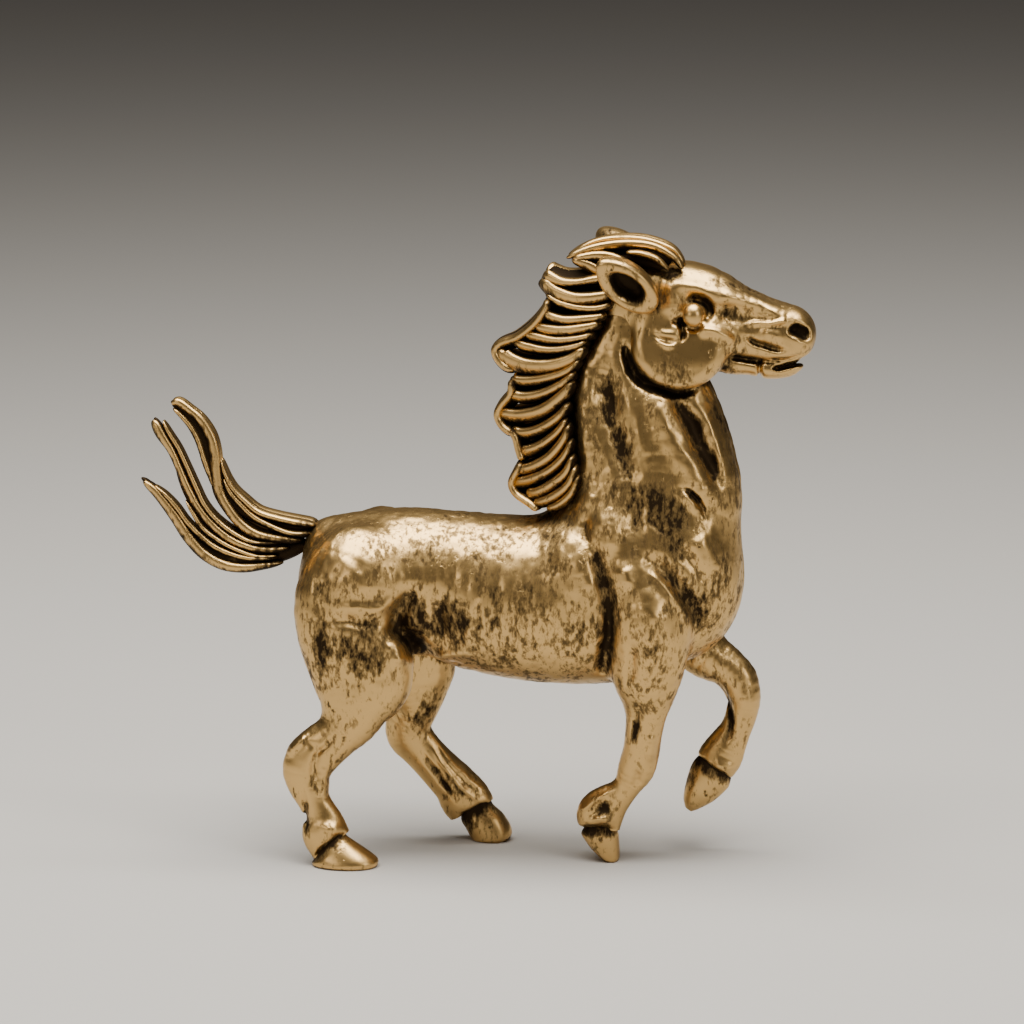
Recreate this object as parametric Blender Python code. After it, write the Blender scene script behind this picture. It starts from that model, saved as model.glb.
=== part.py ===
"""A prancing horse statuette in cast bronze, 52 mm long, modelled as the sections its wax
pattern is joined from. X points to the nose, Y to the horse's left, Z up. Sizes are in
millimetres and are turned into metres once, when each mesh is made."""

import math

import bmesh
import bpy
import numpy as np
from mathutils import Matrix, Vector

MM = 0.001

# Driving sizes, in millimetres
GAP = 0.3                      # the joint left between neighbouring sections
NOSE_X = 26.2                  # from the middle of the statuette to the tip of the nose
BACK_Z = 27.3                  # the ground to the lowest part of the back
BELLY_Z = 13.9                 # the ground to the belly
BARREL_HALF_WIDTH = 5.5
HAUNCH_HALF_WIDTH = 5.9
NECK_HALF_WIDTH = 3.9
CHEEK_HALF_WIDTH = 3.6
TRACK_HALF_WIDTH = 4.2         # the middle of the body to a hind hoof's middle
EYE_RADIUS = 0.9
EAR_LENGTH = 5.2
SOLE_Z = 0.0                   # the hooves stand on this plane

# Section joints: a point (x, z) on the cut and the direction that it faces
NECK_CUT = ((13.0, 26.6), (0.26, 0.965))

BRONZE = (0.46, 0.31, 0.13)
DARK_BRONZE = (0.27, 0.17, 0.075)
BRIGHT_BRONZE = (0.62, 0.45, 0.22)


def clear_scene():
    for found in list(bpy.data.objects):
        bpy.data.objects.remove(found, do_unlink=True)


def bronze(name, colour, roughness):
    material = bpy.data.materials.new(name)
    material.use_nodes = True
    shader = material.node_tree.nodes["Principled BSDF"]
    shader.inputs["Base Color"].default_value = (*colour, 1.0)
    shader.inputs["Metallic"].default_value = 1.0
    shader.inputs["Roughness"].default_value = roughness
    material.diffuse_color = (*colour, 1.0)
    return material


def finished(name, bm, colour=BRONZE, roughness=0.35):
    """Turns a mesh in millimetres into a smooth-shaded object in metres with its own bronze."""
    bmesh.ops.remove_doubles(bm, verts=bm.verts, dist=1e-5)
    bmesh.ops.recalc_face_normals(bm, faces=bm.faces)
    bmesh.ops.scale(bm, vec=(MM, MM, MM), verts=bm.verts)
    for face in bm.faces:
        face.smooth = True
    mesh = bpy.data.meshes.new(name)
    bm.to_mesh(mesh)
    bm.free()
    made = bpy.data.objects.new(name, mesh)
    bpy.context.scene.collection.objects.link(made)
    mesh.materials.append(bronze(name, colour, roughness))
    return made


def smoothed(stations, steps):
    """Adds `steps` rows to each span of a list of stations, along Catmull-Rom curves."""
    rows = np.array(stations, float)
    ends = np.vstack([2 * rows[0] - rows[1], rows, 2 * rows[-1] - rows[-2]])
    t = np.linspace(0, 1, steps, endpoint=False)[:, None]
    spans = []
    for a, b, c, d in zip(ends[:-3], ends[1:-2], ends[2:-1], ends[3:]):
        spans.append(b + 0.5 * t * (c - a + t * (2 * a - 5 * b + 4 * c - d + t * (3 * (b - c) + d - a))))
    return np.vstack([*spans, rows[-1]])


def ring(bm, back, front, y, half_width, sides):
    """An ellipse across the line from `back` to `front`, each given as (x, z)."""
    middle = Vector(((back[0] + front[0]) / 2, y, (back[1] + front[1]) / 2))
    reach = Vector(((front[0] - back[0]) / 2, 0, (front[1] - back[1]) / 2))
    verts = []
    for k in range(sides):
        turn = math.tau * (k + 0.5) / sides
        point = middle + reach * math.cos(turn) + Vector((0, half_width * math.sin(turn), 0))
        verts.append(bm.verts.new(point))
    return [bm.edges.new((verts[k - 1], verts[k])) for k in range(sides)]


def loft(stations, sides=16, steps=3):
    """A closed body through ellipses. Each station is (back x, back z, front x, front z, y,
    half width), the two points being where the outline of the side view crosses it."""
    bm = bmesh.new()
    rings = []
    for bx, bz, fx, fz, y, half_width in smoothed(stations, steps):
        rings.append(ring(bm, (bx, bz), (fx, fz), y, half_width, sides))
    for one, other in zip(rings, rings[1:]):
        bmesh.ops.bridge_loops(bm, edges=one + other)
    for end in (rings[0], rings[-1]):
        bmesh.ops.contextual_create(bm, geom=end)
    return bm


def trim(bm, point, facing):
    """Cuts off what lies beyond a plane across the side view, and closes the cut."""
    plane = Vector((facing[0], 0, facing[1])).normalized()
    place = Vector((point[0], 0, point[1]))
    whole = bm.verts[:] + bm.edges[:] + bm.faces[:]
    cut = bmesh.ops.bisect_plane(bm, geom=whole, plane_co=place, plane_no=plane, clear_outer=True)
    rim = [edge for edge in cut["geom_cut"] if isinstance(edge, bmesh.types.BMEdge)]
    bmesh.ops.holes_fill(bm, edges=rim, sides=0)
    return bm


def below(cut, extra=GAP / 2):
    """The plane of a section joint, moved back by half the gap, for the section it faces."""
    (x, z), (nx, nz) = cut
    return (x - nx * extra, z - nz * extra), (nx, nz)


def above(cut, extra=GAP / 2):
    """The same joint seen from the other section."""
    (x, z), (nx, nz) = cut
    return (x + nx * extra, z + nz * extra), (-nx, -nz)


def nest(host, guest, gap=GAP):
    """Hollows the host where a guest section sits in it, leaving the gap all round."""
    graph = bpy.context.evaluated_depsgraph_get()
    mesh = bpy.data.meshes.new_from_object(guest.evaluated_get(graph))
    cutter = bpy.data.objects.new(f"{host.name}.seat_of.{guest.name}", mesh)
    bpy.context.scene.collection.objects.link(cutter)
    cutter.matrix_world = guest.matrix_world
    cutter.hide_render = True
    cutter.display_type = "WIRE"
    swell = cutter.modifiers.new("clearance", "DISPLACE")
    swell.strength = gap * MM
    swell.mid_level = 0.0
    seat = host.modifiers.new("seat", "BOOLEAN")
    seat.operation = "DIFFERENCE"
    seat.solver = "EXACT"
    seat.object = cutter


# Body, neck and head


def torso():
    """Rump, barrel and chest. The stations run from the tail forward, spine to belly."""
    haunch = HAUNCH_HALF_WIDTH
    barrel = BARREL_HALF_WIDTH
    bm = loft([
        (-13.3, 23.9, -13.3, 21.4, 0, 1.3),
        (-12.7, 25.4, -12.7, 18.4, 0, 3.3),
        (-11.0, 26.5, -11.4, 16.6, 0, 4.7),
        (-8.0, BACK_Z - 0.2, -8.0, 15.9, 0, haunch - 0.6),
        (-5.0, BACK_Z + 0.1, -5.0, 16.0, 0, haunch - 0.6),
        (-2.0, BACK_Z, -2.0, 15.7, 0, barrel - 0.3),
        (2.0, BACK_Z - 0.3, 2.0, BELLY_Z + 0.4, 0, barrel),
        (6.0, 28.2, 6.0, BELLY_Z, 0, barrel),
        (9.5, 31.5, 9.5, BELLY_Z, 0, barrel + 0.2),
        (13.0, 32.0, 13.0, BELLY_Z + 0.6, 0, barrel + 0.3),
        (16.5, 31.5, 16.5, BELLY_Z + 1.9, 0, barrel - 0.3),
        (19.0, 30.0, 19.0, 17.9, 0, 3.9),
        (20.4, 28.0, 20.4, 20.4, 0, 2.3),
        (20.95, 26.0, 20.95, 23.4, 0, 0.9),
    ], sides=26, steps=2)
    trim(bm, *below(NECK_CUT))
    return finished("torso", bm)


def neck():
    """The stations run from the chest up, crest of the neck to throat."""
    bm = loft([
        (3.6, 24.6, 21.0, 20.2, 0, NECK_HALF_WIDTH + 1.7),
        (5.4, 28.2, 21.0, 25.4, 0, NECK_HALF_WIDTH + 1.1),
        (6.3, 31.2, 20.8, 29.6, 0, NECK_HALF_WIDTH + 0.3),
        (6.3, 34.4, 20.0, 34.0, 0, NECK_HALF_WIDTH - 0.5),
        (6.8, 38.0, 18.1, 37.6, 0, NECK_HALF_WIDTH - 0.9),
        (8.2, 41.4, 16.6, 40.8, 0, NECK_HALF_WIDTH - 1.2),
        (9.8, 43.6, 15.0, 43.2, 0, NECK_HALF_WIDTH - 1.6),
    ], sides=22, steps=2)
    trim(bm, *above(NECK_CUT))
    return finished("neck", bm)


def head():
    """The stations run from the poll to the lips, forehead to jaw."""
    bm = loft([
        (9.6, 45.8, 10.9, 42.4, 0, 1.5),
        (11.4, 47.2, 11.9, 39.9, 0, 2.9),
        (14.2, 47.4, 13.6, 37.9, 0, CHEEK_HALF_WIDTH - 0.1),
        (16.8, 46.7, 16.0, 37.3, 0, CHEEK_HALF_WIDTH),
        (18.9, 45.7, 18.4, 38.4, 0, CHEEK_HALF_WIDTH - 0.5),
        (20.8, 44.9, 20.6, 38.9, 0, 2.4),
        (22.8, 44.2, 22.4, 38.6, 0, 2.1),
        (24.6, 43.8, 24.2, 38.5, 0, 2.2),
        (25.7, 42.7, 25.3, 39.7, 0, 1.7),
        (NOSE_X, 41.7, NOSE_X - 0.3, 40.7, 0, 0.7),
    ], sides=20, steps=2)
    return finished("head", bm)


def eye(side):
    bm = bmesh.new()
    place = Matrix.Translation((16.7, 3.25 * side, 43.1))
    bmesh.ops.create_uvsphere(bm, u_segments=16, v_segments=10, radius=EYE_RADIUS, matrix=place)
    name = "eye_left" if side > 0 else "eye_right"
    return finished(name, bm, BRIGHT_BRONZE, 0.2)


def ear(side):
    """A leaf-shaped cup laid back along the poll: an ellipse that opens outward."""
    bm = bmesh.new()
    half = EAR_LENGTH / 2
    rows = [(0.35, -1.6), (0.75, -1.0), (0.95, 0.0), (1.0, 0.75), (0.72, 0.85), (0.45, 0.1), (0.2, -0.3)]
    rings = []
    for swell, depth in rows:
        turn = [math.tau * k / 16 for k in range(16)]
        verts = [bm.verts.new((half * swell * math.cos(a), depth, 1.5 * swell * math.sin(a))) for a in turn]
        rings.append([bm.edges.new((verts[k - 1], verts[k])) for k in range(16)])
    for one, other in zip(rings, rings[1:]):
        bmesh.ops.bridge_loops(bm, edges=one + other)
    for end in (rings[0], rings[-1]):
        bmesh.ops.contextual_create(bm, geom=end)
    if side < 0:
        bmesh.ops.scale(bm, vec=(1, -1, 1), verts=bm.verts)
    bmesh.ops.rotate(bm, matrix=Matrix.Rotation(math.radians(44), 3, "Y"), verts=bm.verts)
    bmesh.ops.rotate(bm, matrix=Matrix.Rotation(math.radians(-22 * side), 3, "X"), verts=bm.verts)
    bmesh.ops.translate(bm, vec=(11.9, 3.6 * side, 46.2), verts=bm.verts)
    return finished("ear_left" if side > 0 else "ear_right", bm, BRIGHT_BRONZE, 0.28)


def forelock():
    """The swept-back crest of hair over the poll, from the forehead to its rear tip."""
    bm = loft([
        (16.2, 47.3, 15.9, 46.4, 0, 0.8),
        (15.0, 48.4, 14.4, 46.4, 0, 1.7),
        (12.6, 49.1, 12.4, 46.6, 0, 2.3),
        (10.2, 49.0, 10.4, 46.2, 0, 2.4),
        (8.4, 48.5, 9.2, 45.8, 0, 1.9),
        (7.0, 47.3, 7.7, 46.3, 0, 0.9),
    ], sides=16, steps=3)
    return finished("forelock", bm, DARK_BRONZE, 0.3)


# Mane and tail


def mane_lock(number, stations):
    return finished(f"mane_lock_{number}", loft(stations, sides=14, steps=2), DARK_BRONZE, 0.3)


def mane():
    """Four locks of hair down the crest. The stations run from the root to the tip."""
    return [
        mane_lock(1, [
            (9.9, 45.3, 10.3, 43.6, 0, 2.4),
            (8.3, 45.4, 8.6, 43.0, 0, 2.5),
            (6.6, 45.4, 6.6, 43.3, 0, 1.7),
            (5.3, 46.0, 5.2, 44.5, 0, 0.7),
        ]),
        mane_lock(2, [
            (10.4, 43.3, 8.6, 38.0, 0, 3.4),
            (6.8, 42.9, 6.4, 37.4, 0, 3.1),
            (4.6, 41.4, 4.3, 37.4, 0, 2.1),
            (2.7, 40.6, 2.6, 38.4, 0, 1.2),
            (1.8, 39.9, 1.7, 39.3, 0, 0.5),
        ]),
        mane_lock(3, [
            (8.4, 38.2, 7.6, 32.8, 0, 3.6),
            (5.8, 37.6, 5.4, 32.2, 0, 3.1),
            (4.0, 36.9, 3.8, 32.6, 0, 2.1),
            (2.7, 35.6, 2.5, 33.8, 0, 1.1),
            (1.9, 35.0, 1.9, 34.5, 0, 0.5),
        ]),
        mane_lock(4, [
            (8.0, 32.9, 7.0, 27.5, 0, 3.9),
            (6.0, 32.3, 5.5, 27.3, 0, 3.1),
            (4.3, 31.7, 4.2, 28.0, 0, 2.0),
            (3.1, 30.1, 3.1, 29.0, 0, 0.8),
        ]),
    ]


def tail():
    """Three locks that leave the dock together and fork. The stations run from root to tip."""
    locks = {
        "tail_lock_upper": [
            (-13.1, 26.3, -13.1, 25.75, 0, 0.7),
            (-15.0, 26.4, -14.9, 25.5, 0, 1.0),
            (-17.3, 27.3, -16.7, 25.7, 0, 1.15),
            (-19.0, 29.5, -20.3, 28.4, 0, 1.1),
            (-19.8, 32.3, -21.7, 31.7, 0, 1.0),
            (-20.9, 34.0, -22.4, 33.6, 0, 0.8),
            (-22.2, 35.2, -23.5, 34.7, 0, 0.6),
            (-23.2, 35.5, -23.6, 35.1, 0, 0.35),
        ],
        "tail_lock_middle": [
            (-13.1, 25.35, -13.1, 24.85, 0, 0.8),
            (-15.0, 25.1, -15.0, 24.3, 0, 1.1),
            (-18.0, 25.1, -18.1, 23.95, 0, 1.2),
            (-21.1, 27.6, -21.8, 26.4, 0, 1.15),
            (-22.3, 30.3, -23.3, 30.2, 0, 1.0),
            (-23.6, 33.1, -24.4, 32.5, 0, 0.75),
            (-24.5, 34.2, -25.0, 33.7, 0, 0.4),
        ],
        "tail_lock_lower": [
            (-13.1, 24.5, -13.2, 23.9, 0, 0.8),
            (-15.0, 23.95, -15.1, 22.8, 0, 1.1),
            (-18.3, 23.6, -18.6, 22.0, 0, 1.2),
            (-21.4, 25.1, -22.4, 23.9, 0, 1.15),
            (-23.3, 27.5, -24.2, 26.8, 0, 0.9),
            (-25.1, 29.2, -25.6, 28.6, 0, 0.6),
            (-25.8, 29.5, -26.1, 29.2, 0, 0.3),
        ],
    }
    return [finished(name, loft(rows, 10, 3), DARK_BRONZE, 0.3) for name, rows in locks.items()]


# Legs and hooves


def leg(name, stations, coronet):
    """A leg with its thigh or shoulder, down to the coronet, rear edge to front edge."""
    bm = loft(stations, sides=16, steps=2)
    trim(bm, *below(coronet))
    return finished(name, bm)


def hoof(name, stations, coronet, sole=True):
    """A hoof from the coronet down to a flat sole."""
    bm = loft(stations, sides=16, steps=2)
    trim(bm, *above(coronet))
    if sole:
        trim(bm, (0, SOLE_Z), (0, -1))
    return finished(name, bm, BRIGHT_BRONZE, 0.25)


def hind_right():
    y = -TRACK_HALF_WIDTH
    coronet = ((-10.6, 1.7), (0.55, -0.84))
    upper = leg("hindleg_right", [
        (-9.6, 24.9, -7.2, 24.6, y + 1.0, 0.8),
        (-11.6, 23.6, -5.0, 23.0, y + 0.9, 2.1),
        (-13.2, 20.8, -4.4, 19.6, y + 0.7, 2.7),
        (-13.0, 17.8, -4.2, 16.4, y + 0.8, 2.6),
        (-11.5, 14.2, -5.4, 13.2, y + 0.8, 2.1),
        (-11.6, 11.3, -7.4, 10.6, y + 0.5, 1.6),
        (-13.6, 9.2, -9.8, 8.7, y + 0.2, 1.3),
        (-14.4, 7.8, -10.85, 7.0, y, 1.25),
        (-13.5, 5.6, -10.8, 5.2, y, 1.0),
        (-12.8, 3.7, -10.2, 4.0, y, 1.0),
        (-12.9, 2.3, -9.5, 3.2, y, 1.2),
        (-12.3, 0.4, -8.2, 2.0, y, 1.3),
    ], coronet)
    lower = hoof("hoof_hind_right", [
        (-12.2, 2.2, -9.4, 3.9, y, 1.15),
        (-12.05, 1.0, -8.5, 2.4, y, 1.4),
        (-11.9, 0.2, -7.2, 0.9, y, 1.6),
        (-11.9, -0.7, -6.4, -0.3, y, 1.7),
    ], coronet)
    return upper, lower


def hind_left():
    y = TRACK_HALF_WIDTH
    coronet = ((-1.0, 2.3), (0.68, -0.73))
    upper = leg("hindleg_left", [
        (-8.6, 24.4, -6.4, 24.3, y - 1.0, 0.8),
        (-11.0, 22.6, -4.6, 22.4, y - 0.9, 2.1),
        (-11.8, 19.6, -3.0, 19.2, y - 0.7, 2.7),
        (-10.2, 16.0, -1.8, 16.0, y - 0.8, 2.5),
        (-8.0, 11.6, -2.6, 12.4, y - 0.6, 1.8),
        (-7.4, 9.6, -3.5, 10.4, y - 0.3, 1.5),
        (-7.2, 8.4, -3.4, 8.6, y, 1.25),
        (-5.9, 6.6, -2.4, 6.9, y, 1.05),
        (-4.2, 4.7, -0.9, 5.2, y, 1.0),
        (-3.1, 2.8, 0.7, 4.0, y, 1.15),
        (-1.9, 1.2, 1.8, 2.5, y, 1.3),
    ], coronet)
    lower = hoof("hoof_hind_left", [
        (-2.9, 2.9, 0.6, 4.3, y, 1.15),
        (-1.6, 1.2, 1.5, 2.9, y, 1.35),
        (-1.0, 0.3, 2.3, 1.5, y, 1.5),
        (-0.6, -0.6, 2.9, 0.2, y, 1.5),
    ], coronet)
    return upper, lower


def fore_right():
    coronet = ((9.9, 2.5), (0.0, -1.0))
    upper = leg("foreleg_right", [
        (11.9, 24.2, 14.1, 24.1, -3.8, 0.9),
        (10.9, 22.6, 15.9, 22.0, -3.8, 2.0),
        (10.7, 19.4, 17.0, 19.2, -3.7, 2.5),
        (10.9, 16.2, 16.7, 16.0, -3.3, 2.1),
        (12.1, 12.8, 15.7, 13.4, -2.7, 1.55),
        (11.9, 9.8, 14.8, 10.0, -2.3, 1.25),
        (11.4, 7.3, 14.2, 7.8, -2.0, 1.25),
        (9.7, 5.5, 12.9, 6.1, -1.7, 1.05),
        (8.4, 4.2, 12.1, 4.4, -1.4, 1.1),
        (8.5, 3.0, 11.6, 3.1, -1.2, 1.2),
        (8.6, 1.7, 11.4, 2.0, -1.0, 1.2),
    ], coronet)
    lower = hoof("hoof_fore_right", [
        (8.5, 3.5, 11.4, 3.5, -1.2, 1.15),
        (8.7, 2.1, 11.5, 2.1, -1.05, 1.3),
        (9.3, 1.0, 11.9, 0.8, -0.9, 1.2),
        (9.9, -0.2, 12.2, -0.4, -0.9, 1.0),
    ], coronet)
    return upper, lower


def fore_left():
    coronet = ((18.1, 6.5), (-0.62, -0.78))
    upper = leg("foreleg_left", [
        (12.4, 23.8, 14.2, 24.4, 3.8, 0.9),
        (11.4, 21.2, 16.6, 22.4, 3.8, 2.0),
        (12.6, 17.6, 18.2, 19.8, 3.5, 2.4),
        (15.0, 15.4, 18.9, 17.7, 3.2, 1.8),
        (16.8, 13.9, 20.2, 16.2, 3.0, 1.5),
        (18.9, 12.2, 21.9, 13.7, 3.0, 1.25),
        (19.3, 10.2, 21.7, 10.9, 3.0, 1.1),
        (18.1, 8.5, 20.9, 8.3, 3.0, 1.0),
        (16.9, 7.2, 20.1, 6.1, 3.0, 1.1),
        (16.1, 5.9, 18.9, 4.3, 3.0, 1.2),
    ], coronet)
    lower = hoof("hoof_fore_left", [
        (17.2, 8.4, 20.0, 6.3, 3.0, 1.1),
        (16.5, 6.6, 19.2, 4.7, 3.0, 1.3),
        (16.0, 4.7, 17.8, 3.4, 3.0, 1.2),
        (16.2, 3.6, 16.8, 3.0, 3.0, 0.7),
    ], coronet, sole=False)
    return upper, lower


def main():
    clear_scene()
    body = torso()
    throat = neck()
    skull = head()
    hair = forelock()
    locks = mane()
    ears = [ear(-1), ear(1)]
    eyes = [eye(-1), eye(1)]
    tail_locks = tail()
    legs = [hind_right(), hind_left(), fore_right(), fore_left()]
    for bead in eyes:
        nest(skull, bead, 0.12)
    nest(throat, skull)
    nest(hair, skull)
    for cup in ears:
        nest(cup, skull)
        nest(cup, hair)
        nest(throat, cup)
    nest(locks[0], skull)
    nest(locks[0], hair)
    for lock in locks:
        nest(lock, throat)
        nest(lock, body)
    for upper_lock, lower_lock in zip(locks, locks[1:]):
        nest(lower_lock, upper_lock)
    for strand in tail_locks:
        nest(strand, body)
    for upper, _ in legs:
        nest(body, upper)


main()
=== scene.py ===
"""Looks for the bronze horse statuette: modelled muscle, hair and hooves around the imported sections.

Working units are the statuette's own: its height is 49.12 units, so a unit is close to a
millimetre. X runs to the nose, Y to the horse's left, Z up."""
import math
from concurrent.futures import ThreadPoolExecutor

import bpy
import numpy as np
from mathutils import Matrix, Vector


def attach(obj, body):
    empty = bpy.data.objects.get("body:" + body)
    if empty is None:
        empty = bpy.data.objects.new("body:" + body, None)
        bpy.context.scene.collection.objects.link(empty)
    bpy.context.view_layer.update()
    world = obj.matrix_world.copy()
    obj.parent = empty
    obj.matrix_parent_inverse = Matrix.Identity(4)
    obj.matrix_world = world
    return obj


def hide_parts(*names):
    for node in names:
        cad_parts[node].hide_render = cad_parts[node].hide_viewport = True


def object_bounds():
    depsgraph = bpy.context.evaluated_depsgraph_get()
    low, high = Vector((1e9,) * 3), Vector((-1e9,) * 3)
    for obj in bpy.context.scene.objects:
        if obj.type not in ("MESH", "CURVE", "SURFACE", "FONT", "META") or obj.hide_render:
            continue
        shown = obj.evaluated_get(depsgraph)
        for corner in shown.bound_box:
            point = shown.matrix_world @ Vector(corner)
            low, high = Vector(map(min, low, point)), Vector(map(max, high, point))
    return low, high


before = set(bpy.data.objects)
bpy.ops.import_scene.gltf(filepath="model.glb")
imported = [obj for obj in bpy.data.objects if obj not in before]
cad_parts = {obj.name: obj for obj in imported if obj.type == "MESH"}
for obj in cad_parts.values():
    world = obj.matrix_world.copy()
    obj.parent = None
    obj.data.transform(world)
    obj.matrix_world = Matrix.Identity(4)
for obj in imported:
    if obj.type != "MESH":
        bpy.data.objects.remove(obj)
cad_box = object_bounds()

UNITS_TALL = 49.12
unit = (cad_box[1][2] - cad_box[0][2]) / UNITS_TALL
# The outlines are drawn on a board that leans this far along X and Z per unit of Y.
LEAN_X, LEAN_Z = 0.105, 0.2137


# Curves and fields

# a shape further than NEAR from a lump of points counts as FAR away
FAR, NEAR = 9.0, 1.7


def smooth_rows(rows, steps):
    """Catmull-Rom curve through the rows: b + t(c-a)/2 + t^2(2a-5b+4c-d)/2 + t^3(3(b-c)+d-a)/2."""
    rows = np.array(rows, float)
    ends = np.vstack([2 * rows[0] - rows[1], rows, 2 * rows[-1] - rows[-2]])
    a, b, c, d = (ends[k:len(ends) - 3 + k, None, :] for k in range(4))
    t = np.linspace(0, 1, steps, endpoint=False)[None, :, None]
    curve = b + 0.5 * t * (c - a + t * (2 * a - 5 * b + 4 * c - d + t * (3 * (b - c) + d - a)))
    return np.vstack([curve.reshape(-1, rows.shape[1]), rows[-1:]])


def smoothstep(x, low, high):
    t = np.clip((x - low) / (high - low), 0, 1)
    return t * t * (3 - 2 * t)


def blend(a, b, soft):
    """Smooth union of two fields: min(a, b) - h^2 soft/4 with h = max(0, 1 - |a - b|/soft)."""
    h = np.maximum(0, 1 - np.abs(a - b) / soft)
    return np.minimum(a, b) - h * h * soft / 4


def chain(p, nodes, square=2.0):
    """Field of a fleshy limb. Each node is (x, y, z, r, w): a ball of radius r in the side view
    and half width w across it. Along each link both are blended by t, the nearest place on it, and
    the field is (m - 1) k0/k1 with k0 = |q/r|, k1 = |q/r^2|, and m the same as k0 but with the
    in-plane and the sideways share raised to the power square, which squares the section."""
    low, high = p.min(0), p.max(0)
    found = np.full(len(p), FAR, p.dtype)
    for a, b in zip(nodes, nodes[1:]):
        reach = max(a[3], b[3], a[4], b[4]) + NEAR
        if (np.minimum(a, b)[:3] - reach > high).any() or (np.maximum(a, b)[:3] + reach < low).any():
            continue
        along = b[:3] - a[:3]
        t = np.clip(((p - a[:3]) @ along) / max(along @ along, 1e-9), 0, 1)
        qx = p[:, 0] - a[0] - t * along[0]
        qy = p[:, 1] - a[1] - t * along[1]
        qz = p[:, 2] - a[2] - t * along[2]
        r = a[3] + t * (b[3] - a[3])
        w = a[4] + t * (b[4] - a[4])
        flat = (qx * qx + qz * qz) / (r * r)
        side = qy * qy / (w * w)
        k0 = np.sqrt(flat + side) + 1e-6
        k1 = np.sqrt(flat / (r * r) + side / (w * w)) + 1e-6
        m = k0 if square == 2 else (flat ** (square / 2) + side ** (square / 2)) ** (1 / square)
        found = np.minimum(found, (m - 1) * k0 / k1)
    return found


def disc(p, x, z, radius, half, corner):
    """Field of a disc lying in the side view, its edge rounded by corner. Its half thickness falls
    off above its middle and towards the nose, where the cheek runs into the skull."""
    thick = half - 1.5 * smoothstep(p[:, 2] - z, -1.8, 4.4) - 0.5 * smoothstep(p[:, 0] - x, -0.5, 4.0)
    edge = np.hypot(p[:, 0] - x, p[:, 2] - z) - radius + corner
    face_side = np.abs(p[:, 1]) - thick + corner
    outer = np.hypot(np.maximum(edge, 0), np.maximum(face_side, 0))
    return outer + np.minimum(np.maximum(edge, face_side), 0) - corner


def limb(rows, steps=3):
    return smooth_rows(rows, steps).astype(np.float32)


def across(pairs):
    """Limb nodes from outline pairs: each (rear x, rear z, front x, front z, y, half width)."""
    rows = np.array(pairs, float)
    radius = np.hypot(rows[:, 2] - rows[:, 0], rows[:, 3] - rows[:, 1]) / 2
    middle = (rows[:, 0:2] + rows[:, 2:4]) / 2
    return limb(np.column_stack([middle[:, 0], rows[:, 4], middle[:, 1], radius, rows[:, 5]]))


def mark(depth, width, points, plane=0.0, inner=0.6, ends=(0.4, 0.4)):
    """A stroke of the modelling tool, along a line drawn on the leaning board: rows of (u, v,
    depth, width). The depth dies away over the given shares of the stroke at its two ends."""
    line = smooth_rows(points, 4)
    run = np.append(0, np.cumsum(np.hypot(*np.diff(line, axis=0).T)))
    run /= run[-1]
    taper = smoothstep(run, 0, ends[0]) * smoothstep(1 - run, 0, ends[1])
    shift = np.array([LEAN_X * plane, LEAN_Z * plane])
    rows = np.column_stack([line + shift, depth * taper, width * (0.6 + 0.4 * taper)])
    return rows.astype(np.float32), inner


CHANCE = np.random.default_rng(7).uniform(-1, 1, (32, 32, 32)).astype(np.float32)


def uneven(p, size):
    """Smooth noise: random heights at the corners of cells of the given size, blended between
    them by t^2(3 - 2t) along each axis."""
    q = p / np.array(size, np.float32)
    base = np.floor(q).astype(np.int32)
    t = q - base
    t = t * t * (3 - 2 * t)
    x0, y0, z0 = (base & 31).T
    x1, y1, z1 = ((base + 1) & 31).T
    tx, ty, tz = t.T
    low = (CHANCE[x0, y0, z0] * (1 - tx) + CHANCE[x1, y0, z0] * tx) * (1 - ty) \
        + (CHANCE[x0, y1, z0] * (1 - tx) + CHANCE[x1, y1, z0] * tx) * ty
    high = (CHANCE[x0, y0, z1] * (1 - tx) + CHANCE[x1, y0, z1] * tx) * (1 - ty) \
        + (CHANCE[x0, y1, z1] * (1 - tx) + CHANCE[x1, y1, z1] * tx) * ty
    return low * (1 - tz) + high * tz


# The relief boards: their spacing, lowest corner and counts, and where their strokes fade in.
PITCH = 0.035
BOARD_LOW = np.array([-17.0, -1.0])
BOARD_SIZE = (1300, 1460)
INNER = (0.0, 0.5, 1.0, 1.6)
STRAY_SIZE, STRAY_LINE, STRAY_DEPTH = (0.8, 0.8, 0.8), 0.07, 0.2


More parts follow.
